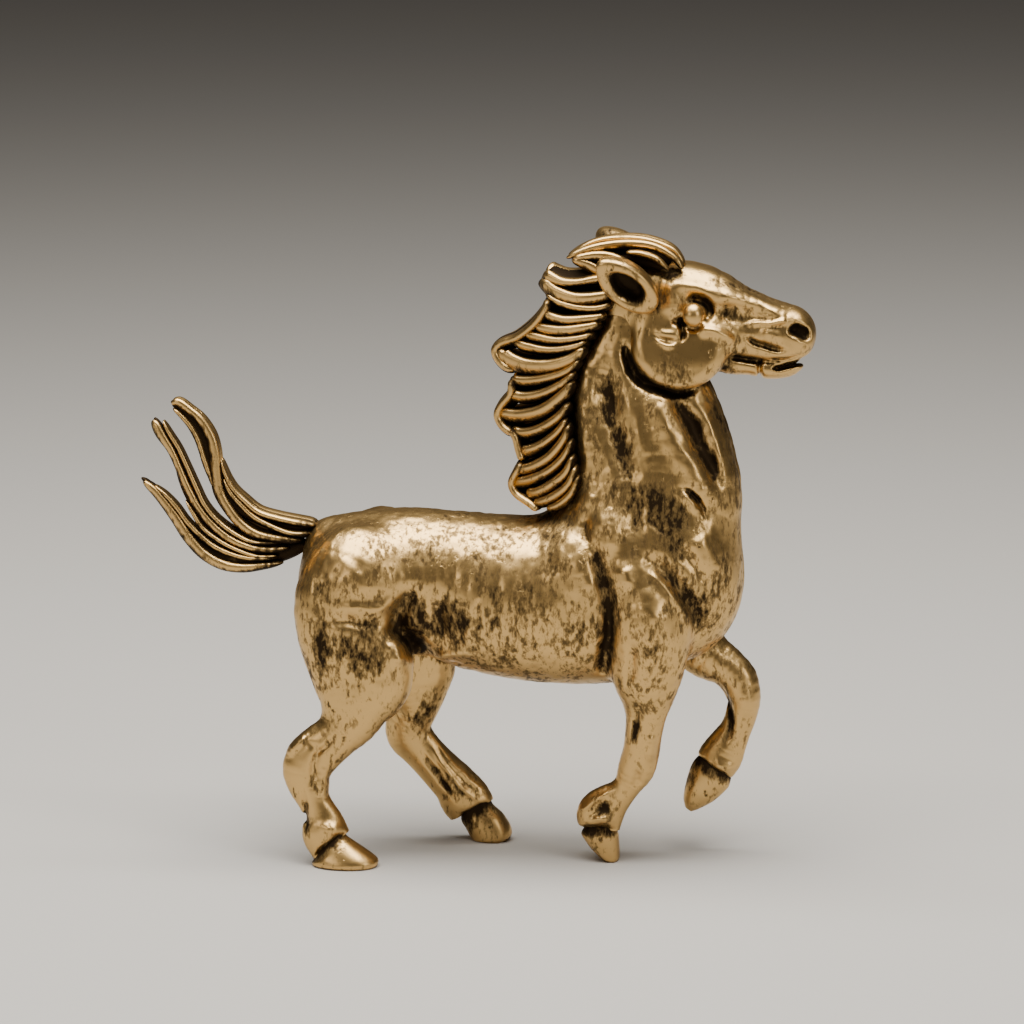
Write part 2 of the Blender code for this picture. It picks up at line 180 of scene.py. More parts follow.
def relief(marks):
    """The strokes drawn out once as heights on the leaning board, one board for each distance
    from the midline at which strokes fade: depth exp(-(d/width)^2) at the distance d from each
    stroke, the strongest place of the stroke counting. A negative depth lays clay on."""
    boards = np.zeros((len(INNER), *BOARD_SIZE), np.float32)
    for rows, inner in marks:
        reach = 2.6 * rows[:, 3].max()
        first = np.maximum(((rows[:, :2].min(0) - reach - BOARD_LOW) / PITCH).astype(int), 0)
        last = np.minimum(((rows[:, :2].max(0) + reach - BOARD_LOW) / PITCH).astype(int), BOARD_SIZE)
        u = (BOARD_LOW[0] + PITCH * np.arange(first[0], last[0]))[:, None]
        v = (BOARD_LOW[1] + PITCH * np.arange(first[1], last[1]))[None, :]
        spot = np.stack(np.broadcast_arrays(u, 3.7, v), -1).reshape(-1, 3).astype(np.float32)
        stray = [uneven(spot + shift, STRAY_SIZE).reshape(len(u), -1) for shift in (0, 11, 23)]
        u, v = u + STRAY_LINE * stray[0], v + STRAY_LINE * stray[1]
        best = 0
        for a, b in zip(rows, rows[1:]):
            du, dv = b[0] - a[0], b[1] - a[1]
            t = np.clip(((u - a[0]) * du + (v - a[1]) * dv) / (du * du + dv * dv + 1e-9), 0, 1)
            gap = (u - a[0] - t * du) ** 2 + (v - a[1] - t * dv) ** 2
            one = np.abs(a[2] + t * (b[2] - a[2])) * np.exp(-gap / (a[3] + t * (b[3] - a[3])) ** 2)
            best = np.maximum(best, one)
        layer = int(np.abs(np.array(INNER) - inner).argmin())
        sign = 1 if rows[:, 2].sum() > 0 else -1
        boards[layer, first[0]:last[0], first[1]:last[1]] += sign * best * (1 + STRAY_DEPTH * stray[2])
    return boards


def worked(p, boards):
    """What the strokes add to the field: the boards read between their points, on both flanks,
    each fading in between its own distance from the midline and 1 more."""
    off = np.abs(p[:, 1])
    q = (p[:, 0] - LEAN_X * off - BOARD_LOW[0]) / PITCH
    r = (p[:, 2] - LEAN_Z * off - BOARD_LOW[1]) / PITCH
    i = np.clip(q.astype(np.int32), 0, BOARD_SIZE[0] - 2)
    j = np.clip(r.astype(np.int32), 0, BOARD_SIZE[1] - 2)
    fi, fj = np.clip(q - i, 0, 1), np.clip(r - j, 0, 1)
    total = 0
    for board, inner in zip(boards, INNER):
        height = (board[i, j] * (1 - fi) + board[i + 1, j] * fi) * (1 - fj) \
            + (board[i, j + 1] * (1 - fi) + board[i + 1, j + 1] * fi) * fj
        total = total + (height * smoothstep(off, inner, inner + 1.0) if inner > 0 else height)
    return total


# The horse's flesh

BARREL = limb([
    (-8.0, 0, 21.1, 5.7, 5.1), (-5.5, 0, 21.6, 5.75, 5.0), (-2.5, 0, 21.5, 5.75, 4.9),
    (1.0, 0, 20.85, 6.2, 5.15), (4.5, 0, 20.5, 6.45, 5.4), (8.0, 0, 20.7, 6.8, 5.5),
    (11.2, 0, 21.2, 7.0, 5.4), (14.5, 0, 21.9, 6.3, 4.9),
])
DOCK = limb([(-8.5, 0, 22.5, 4.0, 3.8), (-11.0, 0, 24.5, 1.95, 2.1)])
NECK = limb([
    (13.2, 0, 25.0, 6.9, 4.9), (13.8, 0, 28.4, 6.9, 4.4), (13.35, 0, 31.5, 6.75, 3.8),
    (12.85, 0, 34.5, 6.25, 3.25), (12.4, 0, 37.5, 5.2, 2.8), (12.4, 0, 40.2, 4.3, 2.45),
    (12.3, 0, 42.6, 3.1, 2.2),
])
HIND_RIGHT = across([
    (-10.6, 24.0, -6.0, 23.8, -3.0, 1.6), (-12.5, 22.8, -4.5, 22.0, -3.2, 2.5),
    (-13.5, 21.0, -5.4, 20.4, -3.4, 2.75), (-13.3, 18.9, -5.5, 18.0, -3.5, 2.7),
    (-12.7, 17.3, -4.7, 16.0, -3.5, 2.5), (-12.1, 15.6, -4.4, 14.4, -3.6, 2.3),
    (-11.5, 14.0, -5.7, 12.8, -3.8, 2.0), (-11.4, 12.1, -6.9, 11.2, -3.9, 1.65),
    (-12.0, 10.6, -8.4, 9.9, -4.0, 1.4), (-13.5, 9.3, -9.7, 8.7, -4.1, 1.25),
    (-14.4, 8.0, -10.75, 7.4, -4.15, 1.2), (-14.1, 6.6, -10.9, 6.3, -4.2, 1.05),
    (-13.4, 5.3, -10.8, 5.2, -4.25, 0.95), (-12.9, 4.2, -10.3, 4.3, -4.3, 0.95),
    (-12.8, 3.2, -9.7, 3.4, -4.35, 1.05), (-12.9, 2.2, -9.3, 2.7, -4.4, 1.2),
    (-12.3, 1.0, -9.0, 2.2, -4.5, 1.2),
])
HIND_LEFT = across([
    (-9.8, 24.6, -5.2, 24.4, 3.0, 1.6), (-11.6, 22.8, -3.6, 22.0, 3.2, 2.5),
    (-12.2, 20.2, -3.4, 19.6, 3.4, 2.75), (-11.2, 17.6, -2.6, 17.0, 3.5, 2.6),
    (-9.6, 15.0, -1.8, 15.0, 3.6, 2.3), (-8.2, 12.6, -2.4, 13.0, 3.7, 1.9),
    (-7.0, 10.6, -3.2, 11.2, 3.8, 1.55), (-7.4, 9.4, -3.8, 9.6, 3.9, 1.3),
    (-7.4, 8.4, -3.75, 8.4, 4.0, 1.2), (-6.5, 7.3, -3.2, 7.55, 4.0, 1.05),
    (-5.4, 6.1, -2.3, 6.4, 4.0, 0.98), (-4.4, 4.8, -1.2, 5.4, 4.05, 0.98),
    (-3.6, 3.7, -0.2, 4.6, 4.1, 1.05), (-3.1, 2.6, 0.8, 3.7, 4.15, 1.2),
    (-2.0, 1.4, 1.1, 3.0, 4.2, 1.2),
])
FORE_RIGHT = across([
    (11.9, 24.4, 14.0, 24.0, -3.7, 1.3), (11.2, 22.8, 15.4, 22.2, -3.8, 2.0),
    (10.9, 20.2, 16.8, 19.8, -3.8, 2.4), (10.9, 17.8, 16.9, 17.6, -3.6, 2.3),
    (11.0, 15.6, 16.4, 15.6, -3.3, 2.05), (11.6, 13.9, 15.8, 14.0, -3.0, 1.7),
    (12.0, 12.2, 15.2, 12.4, -2.8, 1.45), (11.95, 10.4, 14.8, 10.6, -2.6, 1.3),
    (11.75, 9.0, 14.6, 9.2, -2.4, 1.25), (11.4, 7.6, 14.25, 7.9, -2.2, 1.2),
    (11.1, 6.5, 13.3, 6.4, -2.0, 1.0), (10.4, 5.9, 12.6, 5.2, -1.85, 0.98),
    (9.2, 5.1, 12.1, 4.4, -1.7, 1.0), (8.2, 4.1, 11.8, 3.7, -1.5, 1.15),
    (8.3, 3.3, 11.6, 3.1, -1.35, 1.2), (8.8, 2.3, 11.3, 2.3, -1.2, 1.1),
])
FORE_LEFT = across([
    (12.6, 23.8, 14.6, 24.4, 3.7, 1.3), (11.6, 21.6, 16.4, 22.6, 3.8, 2.0),
    (12.2, 18.6, 18.0, 20.0, 3.7, 2.35), (14.2, 16.2, 18.6, 18.0, 3.4, 2.05),
    (16.2, 14.7, 19.6, 16.4, 3.2, 1.7), (17.8, 14.1, 20.6, 15.6, 3.1, 1.5),
    (18.9, 13.1, 21.6, 14.5, 3.0, 1.35), (19.35, 11.9, 22.0, 12.7, 3.0, 1.25),
    (19.35, 10.6, 21.75, 11.2, 3.0, 1.15), (18.9, 9.4, 21.3, 9.9, 3.0, 1.0),
    (18.1, 8.7, 21.0, 8.5, 3.0, 1.05), (17.3, 7.9, 20.6, 7.0, 3.0, 1.15),
    (17.0, 7.2, 19.7, 5.7, 3.0, 1.15),
])
LEGS = {"hindleg_right": HIND_RIGHT, "hindleg_left": HIND_LEFT,
        "foreleg_right": FORE_RIGHT, "foreleg_left": FORE_LEFT}

# lines that both a stroke of the tool and a dark stroke of patina with painted shade follow
NECK_GROOVE = [(10.7, 39.7), (10.1, 37.9), (10.4, 35.7), (11.0, 33.2), (11.7, 30.9), (12.0, 28.7)]
THROAT_GROOVE = [(15.0, 36.7), (16.4, 34.8), (17.4, 32.6), (18.3, 30.7), (18.9, 28.7)]
BEHIND_CHEEK = [(11.4, 40.8), (11.8, 39.4), (12.5, 37.9), (14.0, 37.2), (15.6, 36.8), (17.2, 37.1)]
MANE_ROOT = [(10.4, 43.0), (9.0, 40.9), (8.0, 39.3), (7.5, 37.1), (7.5, 34.8), (7.8, 32.2), (8.1, 30.1)]
CANNON_GROOVE = [(18.6, 13.2), (19.4, 11.4), (19.6, 9.5), (18.9, 7.9)]
# where each leg ends above its hoof: rear x, rear z, front x, front z, distance from the midline
CORONETS = {
    "hindleg_right": (-12.0, 0.5, -9.4, 2.65, 4.45),
    "hindleg_left": (-1.7, 1.85, 0.85, 3.2, 4.1),
    "foreleg_right": (8.1, 2.62, 11.2, 2.62, 1.3),
    "foreleg_left": (17.1, 7.7, 19.85, 5.75, 3.0),
}

BODY_MARKS = [mark(0.5, 0.34, [(rear_x, rear_z), (front_x, front_z)], -off, 0.0, (0.02, 0.02))
              for rear_x, rear_z, front_x, front_z, off in CORONETS.values()] + [
    # behind the shoulder
    mark(0.6, 0.62, [(8.6, 26.6), (9.4, 25.5), (10.0, 24.0), (10.4, 22.2), (10.7, 20.1), (10.6, 18.2),
                     (10.2, 15.4)], -3.5, 1.5, (0.3, 0.1)),
    mark(-0.45, 1.5, [(6.2, 26.4), (7.6, 24.4), (8.5, 21.6)], -3.5, 1.5),
    # upper arm, its front edge, and the furrow round it
    mark(-0.45, 1.8, [(13.4, 22.4), (13.9, 19.4), (13.7, 16.6)], -3.5, 1.5),
    mark(-0.4, 0.7, [(11.7, 24.3), (12.0, 23.2), (11.9, 22.2)], -3.5, 1.5),
    mark(-0.3, 0.45, [(13.0, 24.1), (14.6, 23.0), (15.8, 21.5), (16.7, 20.1), (16.8, 18.4)], -3.5, 1.5),
    mark(0.5, 0.65, [(12.8, 24.8), (14.6, 24.1), (15.8, 22.8), (16.8, 21.4), (17.5, 19.9),
         (17.5, 17.8)],
         -3.5, 1.5, (0.2, 0.3)),
    # shoulder blade, withers, and the valley before them
    mark(-0.55, 1.3, [(10.4, 28.2), (10.7, 27.0), (10.9, 25.4)], -3.5, 1.2),
    mark(-0.35, 0.7, [(8.2, 27.8), (9.0, 29.0), (9.7, 30.2)], -3.5, 0.6),
    mark(0.35, 0.8, [(12.4, 30.4), (12.7, 28.6), (12.6, 27.0), (12.2, 25.8)], -3.5, 1.0),
    mark(0.3, 0.35, [(8.9, 28.0), (8.9, 26.6), (9.2, 25.4)], -3.5, 1.0),
    # breast
    mark(-0.5, 1.15, [(17.0, 26.9), (18.0, 25.3), (18.8, 23.4)], -3.5, 1.0),
    mark(0.3, 0.5, [(15.4, 26.6), (16.4, 25.2), (17.6, 23.6), (18.2, 21.6)], -3.5, 1.2),
    mark(0.35, 0.22, [(15.9, 30.3), (17.0, 29.7), (17.9, 28.7), (18.2, 27.5)], -3.5, 1.0),
    mark(-0.25, 0.35, [(15.8, 29.7), (16.9, 29.1), (17.6, 27.9)], -3.5, 1.0),
    mark(0.16, 0.3, [(13.7, 28.3), (14.1, 27.3), (15.0, 26.7), (15.6, 26.4)], -3.5, 1.0),
    # crest, furrow, the bands of the neck's muscle, throat furrow and windpipe
    mark(-0.45, 1.0, [(9.7, 40.4), (8.6, 38.2), (8.4, 35.7), (8.5, 33.0), (9.3, 30.3)], 0, 0.5),
    mark(0.5, 0.8, NECK_GROOVE, 0, 0.5, (0.3, 0.25)),
    mark(-0.25, 0.9, [(11.3, 38.3), (12.0, 35.8), (12.9, 32.9), (14.0, 30.4)], 0, 0.5),
    mark(-0.5, 1.0, [(12.7, 37.0), (14.0, 35.3), (15.6, 32.4), (17.2, 30.1),
         (18.4, 27.6)], 0, 0.5, (0.2, 0.3)),
    mark(0.6, 0.6, THROAT_GROOVE, 0, 0.3, (0.2, 0.3)),
    mark(-0.25, 0.6, [(16.6, 36.8), (18.0, 34.5), (18.9, 31.9), (19.6, 29.1)], 0, 0.3),
    # deep crease under the cheek
    mark(0.75, 0.42, BEHIND_CHEEK, 0, 0.3, (0.2, 0.2)),
    # under the roots of the mane
    mark(0.5, 0.4, MANE_ROOT, 0, 0.5, (0.1, 0.1)),
    # haunch, its lower edge, thigh and stifle
    mark(-0.55, 1.9, [(-10.4, 22.9), (-8.4, 22.6), (-6.6, 23.0)], -3.5, 1.2),
    mark(-0.25, 0.5, [(-11.0, 20.2), (-9.0, 20.2), (-7.0, 20.2), (-5.7, 21.0),
         (-4.4, 22.3)], -3.5, 1.5),
    mark(0.36, 0.5, [(-11.6, 19.2), (-9.4, 19.2), (-7.4, 19.0), (-6.2, 19.4)], -3.5, 1.8),
    mark(0.3, 0.5, [(-11.6, 23.2), (-11.4, 21.6), (-11.3, 19.8), (-11.0, 17.6), (-10.8, 15.6)],
         -3.5, 2.0, (0.2, 0.3)),
    mark(0.75, 0.8, [(-3.6, 22.0), (-4.7, 21.0), (-5.4, 19.6), (-5.3, 18.4), (-4.1, 17.3),
         (-3.6, 16.6)],
         -3.5, 1.8, (0.25, 0.2)),
    mark(0.5, 1.6, [(-3.0, 20.9), (-2.4, 19.4), (-1.4, 18.2)], -3.5, 1.8),
    mark(-0.55, 0.8, [(-5.7, 18.2), (-5.4, 16.8), (-5.1, 15.5)], -3.5, 1.8),
    mark(-0.25, 0.4, [(-4.0, 15.6), (-2.6, 16.3), (-0.8, 16.7), (1.2, 16.7)], -3.5, 1.5),
    # ribs
    mark(0.2, 0.3, [(-3.4, 21.8), (-3.7, 20.2), (-3.6, 18.6)], -3.5, 1.8),
    mark(0.2, 0.3, [(-1.9, 21.6), (-2.1, 20.0), (-1.9, 18.4)], -3.5, 1.8),
    mark(0.2, 0.3, [(1.0, 21.6), (0.7, 20.0), (1.0, 18.2)], -3.5, 1.8),
    mark(-0.15, 0.3, [(-0.5, 17.5), (0.1, 18.6), (0.9, 19.6)], -3.5, 1.8),
    mark(0.16, 0.35, [(3.6, 21.0), (3.4, 19.4), (3.8, 17.6)], -3.5, 1.8),
    mark(0.16, 0.35, [(6.2, 20.6), (6.0, 19.0), (6.4, 17.2)], -3.5, 1.8),
    # legs: tendons, fetlock
    mark(0.25, 0.24, [(-13.3, 5.4), (-13.1, 3.8), (-13.0, 2.2), (-13.0, 1.0)], 0, 0.5),
    mark(0.22, 0.22, [(-12.6, 7.6), (-11.6, 8.4), (-10.6, 9.6)], 0, 0.5),
    mark(0.28, 0.25, [(12.7, 12.6), (12.5, 10.5), (12.3, 9.0)], 0, 0.5),
    mark(-0.22, 0.22, [(7.9, 3.4), (9.2, 4.5), (10.9, 5.6)], 0, 0.0),
    mark(0.3, 0.4, [(8.7, 3.1), (9.8, 3.9), (10.7, 4.7)], 0, 0.0),
    mark(-0.2, 0.25, [(-4.0, 7.6), (-2.6, 5.8), (-1.0, 4.2), (0.2, 3.2)], 0, 0.5),
    mark(-0.25, 0.26, [(-4.3, 7.2), (-3.0, 5.4), (-1.5, 3.6), (0.1, 2.3)], 0, 2.0),
    mark(0.22, 0.24, [(-5.1, 6.9), (-3.5, 4.6), (-2.0, 2.5)], 0, 2.0),
    mark(0.3, 0.3, CANNON_GROOVE, 0, 1.0),
    mark(-0.3, 0.35, [(-14.2, 8.3), (-13.4, 9.4), (-12.3, 10.4)], -4.1, 1.0),
    mark(0.3, 0.35, [(-12.7, 10.0), (-11.8, 9.0), (-12.0, 7.4), (-12.3, 5.6)], -4.1, 1.0),
    mark(-0.25, 0.4, [(-11.0, 8.2), (-11.2, 6.6), (-11.4, 4.8)], -4.2, 1.0),
    mark(-0.3, 0.5, [(-11.3, 3.2), (-10.6, 2.9), (-9.9, 3.1)], -4.4, 1.0),
    mark(-0.3, 0.45, [(13.9, 10.8), (13.9, 9.4), (13.6, 8.2)], -2.4, 0.5),
    mark(0.25, 0.3, [(12.6, 7.9), (12.9, 7.0), (12.4, 6.0)], -2.2, 0.5),
    mark(-0.3, 0.4, [(9.2, 3.6), (10.2, 3.5), (11.0, 3.5)], -1.4, 0.0),
    mark(-0.25, 0.5, [(20.9, 13.6), (21.2, 12.4), (21.0, 11.2)], -3.0, 1.0),
    mark(-0.3, 0.4, [(18.6, 7.6), (19.6, 7.2), (20.3, 7.0)], -3.0, 1.0),
    # arm and elbow
    mark(0.35, 0.35, [(12.6, 18.4), (12.5, 16.6), (12.4, 15.2), (12.0, 14.2)], -3.5, 1.5),
]


# Dark strokes laid into the colour, not the shape: stains and patina, painted shade in creases and
# hollows, and painted dark reflections, as noted group by group.
BODY_STAINS_SHADE_AND_REFLECTION = [
    # flank, ribs, shoulder and breast: a broad dark band along the barrel's side at middle height,
    # mottled stain with a painted dark reflection; patina with painted shade in the flank's hollow and
    # the shoulder's furrows
    mark(0.3, 1.1, [(-4.3, 21.4), (-4.6, 19.4), (-3.4, 17.2)], -3.5, 1.5),
    mark(0.26, 1.9, [(-2.6, 20.6), (-1.2, 18.8), (1.4, 18.6)], -3.5, 1.5),
    mark(0.16, 1.9, [(1.5, 20.2), (4.5, 19.6), (7.5, 19.6)], -3.5, 1.5),
    mark(0.22, 1.7, [(12.5, 30.2), (14.4, 28.6), (14.9, 26.4), (14.4, 25.0)], -3.5, 1.0),
    mark(0.22, 1.0, [(15.6, 24.2), (17.0, 22.0), (17.5, 19.6), (17.3, 18.0)], -3.5, 1.0),
    mark(0.2, 1.3, [(13.2, 22.0), (13.4, 19.0), (13.0, 17.0)], -3.5, 1.0),
    mark(0.35, 0.8, [(8.6, 26.6), (10.0, 24.6), (10.6, 22.0), (10.8, 19.5), (10.4, 16.0)], -3.5, 1.0),
    # back, haunch and thigh: a painted dark reflection along the top of the back; patina with painted
    # shade down the thigh
    mark(0.18, 0.9, [(-11.0, 27.4), (-6.0, 28.2), (0.0, 27.9), (6.0, 27.6)], 0, 0.0),
    mark(0.2, 1.4, [(-10.0, 18.1), (-9.0, 16.0), (-8.2, 13.6)], 0, 1.5),
    mark(0.35, 0.5, [(-12.1, 19.9), (-11.9, 17.2), (-11.6, 13.8)], 0, 1.5),
    # neck: patina with painted shade under the mane's roots, in its grooves and in the crease under
    # the cheek
    mark(0.36, 0.6, MANE_ROOT, 0, 0.0),
    mark(0.36, 0.6, NECK_GROOVE, 0, 0.3),
    mark(0.4, 0.55, THROAT_GROOVE, 0, 0.3),
    mark(0.3, 0.35, [(17.5, 37.0), (18.4, 35.5), (19.3, 33.9), (19.9, 32.1)], 0, 0.0),
    mark(0.4, 0.6, BEHIND_CHEEK, 0, 0.0),
    mark(0.22, 1.3, [(12.9, 28.7), (14.7, 27.7), (16.4, 26.8)], 0, 1.0),
    # painted shade where the tail leaves the rump
    mark(0.4, 0.5, [(-12.9, 26.4), (-12.9, 24.6)], 0, 0.0),
    # legs: patina with painted shade along the tendons, grooves and pasterns
    mark(0.4, 0.3, [(-13.3, 5.3), (-13.0, 2.6), (-12.8, 0.2)], 0, 0.5),
    mark(0.35, 0.3, [(-12.9, 6.3), (-12.2, 5.3), (-11.9, 4.0)], 0, 0.5),
    mark(0.35, 0.2, [(-14.2, 7.4), (-13.2, 8.7), (-11.9, 10.1)], 0, 0.5),
    mark(0.36, 0.9, [(-3.5, 12.3), (-4.9, 10.1), (-6.2, 8.0)], 0, 2.0),
    mark(0.4, 0.3, [(-5.1, 6.9), (-3.5, 4.6), (-1.7, 2.2)], 0, 2.0),
    mark(0.35, 0.22, [(-3.5, 5.9), (-2.0, 3.8), (-0.1, 2.0)], 0, 2.0),
    mark(0.4, 0.28, [(12.7, 11.9), (12.4, 10.1), (11.9, 8.5)], 0, 0.5),
    mark(0.4, 0.4, [(10.6, 5.0), (10.0, 3.8), (10.5, 2.6)], 0, 0.0),
    mark(0.45, 0.4, CANNON_GROOVE, 0, 1.0),
]


BODY_MARKS, BODY_STAINS_SHADE_AND_REFLECTION = relief(BODY_MARKS), relief(BODY_STAINS_SHADE_AND_REFLECTION)


DOCK_SOFT, NECK_SOFT, THIGH_SOFT, ARM_SOFT = 1.5, 2.2, 1.1, 0.8
NECK_SQUARE, SKULL_SQUARE = 2.3, 2.7


def flesh(p):
    """Barrel, dock, neck, thighs and shoulders run together, then worked with the tool and left
    a little uneven from the wax, more in upright streaks than across."""
    found = blend(chain(p, BARREL), chain(p, DOCK), DOCK_SOFT)
    found = blend(found, chain(p, NECK, NECK_SQUARE), NECK_SOFT)
    for name, nodes in LEGS.items():
        found = blend(found, chain(p, nodes), THIGH_SOFT if name.startswith("hind") else ARM_SOFT)
    found = found + worked(p, BODY_MARKS)
    body = smoothstep(p[:, 2], 11.0, 15.0)
    found += (0.015 + 0.025 * body) * uneven(p, (1.1, 1.1, 1.9))
    found += (0.006 + 0.02 * body) * uneven(p + 9.7, (0.42, 0.42, 0.8))
    # a furrow down the middle of the breast
    front = smoothstep(p[:, 0], 16.5, 19.0) * smoothstep(p[:, 2], 17.0, 19.0)
    return found + 0.4 * front * np.exp(-(p[:, 1] / 0.4) ** 2)


SKULL = limb([
    (12.2, 0, 44.2, 2.7, 2.3), (14.5, 0, 43.8, 3.3, 2.6), (17.0, 0, 43.3, 3.5, 2.6),
    (19.5, 0, 42.6, 2.85, 2.05), (21.8, 0, 41.95, 2.5, 1.8), (23.9, 0, 41.55, 2.25, 1.95),
])
CHEEK_SOFT, JAW_SOFT = 0.9, 0.2
CHEEK = dict(x=15.9, z=41.2, radius=3.75, half=3.35, corner=1.1)
JAW = limb([
    (17.5, 0, 40.6, 1.7, 1.9), (19.6, 0, 39.5, 1.1, 1.4), (21.2, 0, 39.2, 0.85, 1.2),
    (22.6, 0, 39.0, 0.92, 1.25), (23.9, 0, 39.1, 0.88, 1.25), (24.6, 0, 39.3, 0.65, 1.0),
])

HEAD_MARKS = [
    # brow, running on as the nasal ridge
    mark(-0.42, 0.66, [(14.5, 44.2), (15.4, 44.95), (16.6, 44.9), (18.3, 44.4), (20.6, 43.95),
         (22.9, 43.1),
                      (24.6, 42.5)], 0, 0.7, (0.1, 0.2)),
    # bulge behind the eye
    mark(-0.35, 0.6, [(15.2, 44.4), (15.2, 43.4), (15.1, 42.9)], 0, 0.9),
    # eye socket, lids and the crease that runs down behind the eye
    mark(0.6, 0.36, [(16.2, 43.9), (17.0, 44.0), (17.7, 43.7), (17.95, 43.0),
         (17.5, 42.2)], 0, 0.9, (0.2, 0.2)),
    mark(0.4, 0.28, [(15.0, 42.3), (15.8, 42.1), (16.6, 41.75), (17.3, 41.85)], 0, 0.9, (0.2, 0.2)),
    mark(0.45, 0.22, [(15.75, 42.8), (15.8, 42.0), (15.95, 41.2), (15.8, 40.6)], 0, 0.9, (0.2, 0.3)),
    # hollow of the nose
    mark(0.6, 0.7, [(18.3, 43.2), (19.6, 42.95), (21.0, 42.7), (22.6, 42.75)], 0, 0.8, (0.25, 0.4)),
    mark(-0.14, 0.16, [(21.0, 43.3), (21.8, 42.85), (23.0, 42.8)], 0, 0.8),
    # cheek bone
    mark(-0.35, 0.4, [(17.0, 41.6), (18.2, 41.55), (19.1, 41.25), (20.1, 40.7)], 0, 0.8, (0.2, 0.3)),
    # folds below the eye
    mark(-0.18, 0.35, [(13.7, 41.6), (14.5, 41.3), (15.2, 41.3), (15.7, 41.5)], 0, 0.9),
    mark(0.2, 0.22, [(13.6, 41.3), (14.4, 40.85), (15.1, 40.75), (15.8, 41.0)], 0, 0.9),
    mark(-0.16, 0.25, [(13.9, 40.8), (14.7, 40.4), (15.5, 40.4)], 0, 0.9),
    # wing of the nostril, its face, and the crease below it
    mark(-0.3, 0.24, [(20.5, 42.1), (21.6, 42.3), (22.7, 42.3), (23.8, 42.5)], 0, 0.6, (0.25, 0.1)),
    mark(-0.25, 0.5, [(21.8, 41.6), (23.0, 41.3), (23.6, 41.1)], 0, 0.6),
    mark(0.36, 0.24, [(20.5, 41.3), (21.4, 40.85), (22.3, 40.55), (23.2, 40.3),
         (24.0, 40.25)], 0, 0.5, (0.25, 0.25)),
    # nostril and the ring round it
    mark(-0.25, 0.75, [(24.5, 41.8), (25.0, 41.5)], 0, 0.5, (0.05, 0.05)),
    mark(1.6, 0.4, [(24.4, 41.85), (24.85, 41.65), (25.2, 41.5)], 0, 0.4, (0.05, 0.05)),
    # between the upper jaw and the jaw bar
    mark(0.4, 0.2, [(19.6, 39.6), (20.4, 39.5), (21.4, 39.4), (22.3, 39.3)], 0, 0.5, (0.2, 0.2)),
    # lip edge and the open mouth
    mark(0.18, 0.16, [(22.2, 39.5), (23.6, 39.55), (24.6, 39.85), (25.5, 40.2)], 0, 0.2),
    mark(0.8, 0.17, [(22.7, 38.8), (23.6, 38.95), (24.6, 39.25), (25.4, 39.6),
         (26.2, 40.0)], 0, 0.0, (0.15, 0.02)),
    # chin groove
    mark(0.3, 0.16, [(21.9, 39.6), (21.85, 39.0), (21.9, 38.3), (21.9, 37.9)], 0, 0.0, (0.2, 0.05)),
]


# Dark strokes laid into the face's colour, not its shape: patina with painted shade in the nostril, the
# eye socket, the nose's hollow, below the cheek, behind the eye and under the forelock, and darker
# along the top of the face.
HEAD_STAINS_AND_SHADE = [
    mark(0.7, 0.34, [(24.3, 41.85), (24.8, 41.6), (25.2, 41.5)], 0, 0.5, (0.02, 0.02)),
    mark(0.35, 0.3, [(16.3, 43.9), (17.2, 44.0), (17.9, 43.4), (17.6, 42.4)], 0, 0.9),
    mark(0.25, 0.8, [(13.6, 39.4), (15.2, 38.9), (17.2, 38.9)], 0, 0.8),
    mark(0.3, 0.7, [(18.6, 43.2), (20.4, 42.7), (22.4, 42.7)], 0, 0.8),
    mark(0.5, 0.5, [(13.9, 45.7), (15.0, 45.8), (16.0, 46.3)], 0, 0.5),
    mark(0.35, 0.6, [(17.0, 46.0), (19.2, 45.3), (21.6, 44.6), (23.6, 44.2)], 0, 0.0),
    mark(0.4, 0.5, [(14.3, 44.6), (13.9, 43.4), (13.2, 42.4)], 0, 0.8),
]


HEAD_MARKS, HEAD_STAINS_AND_SHADE = relief(HEAD_MARKS), relief(HEAD_STAINS_AND_SHADE)


def face(p):
    """Skull, round cheeks and lower jaw, then the strokes that make the face."""
    found = blend(chain(p, SKULL, SKULL_SQUARE), disc(p, **CHEEK), CHEEK_SOFT)
    found = blend(found, chain(p, JAW), JAW_SOFT)
    return found + worked(p, HEAD_MARKS) + 0.012 * uneven(p, (0.9, 0.9, 0.9))


def whole(p):
    return np.minimum(flesh(p), face(p))


# From field to mesh


def node_grid(low, counts, step):
    axes = [low[k] + step * np.arange(counts[k]) for k in range(3)]
    return np.stack(np.meshgrid(*axes, indexing="ij"), -1).reshape(-1, 3).astype(np.float32)


def in_lumps(field, points, cell=4.0):
    """The field at many points, a cube of space at a time, so that each lump meets only the
    shapes near it, and four lumps at once."""
    points = np.asarray(points, np.float32)
    key = np.floor(points / cell).astype(np.int64) + 64
    key = (key[:, 0] * 256 + key[:, 1]) * 256 + key[:, 2]
    order = np.argsort(key, kind="stable")
    starts = np.append(np.flatnonzero(np.diff(key[order], prepend=-1)), len(order))
    found = np.empty(len(points), np.float32)

    def work(k):
        some = order[starts[k]:starts[k + 1]]
        found[some] = field(points[some])

    with ThreadPoolExecutor(4) as crew:
        list(crew.map(work, range(len(starts) - 1)))
    return found


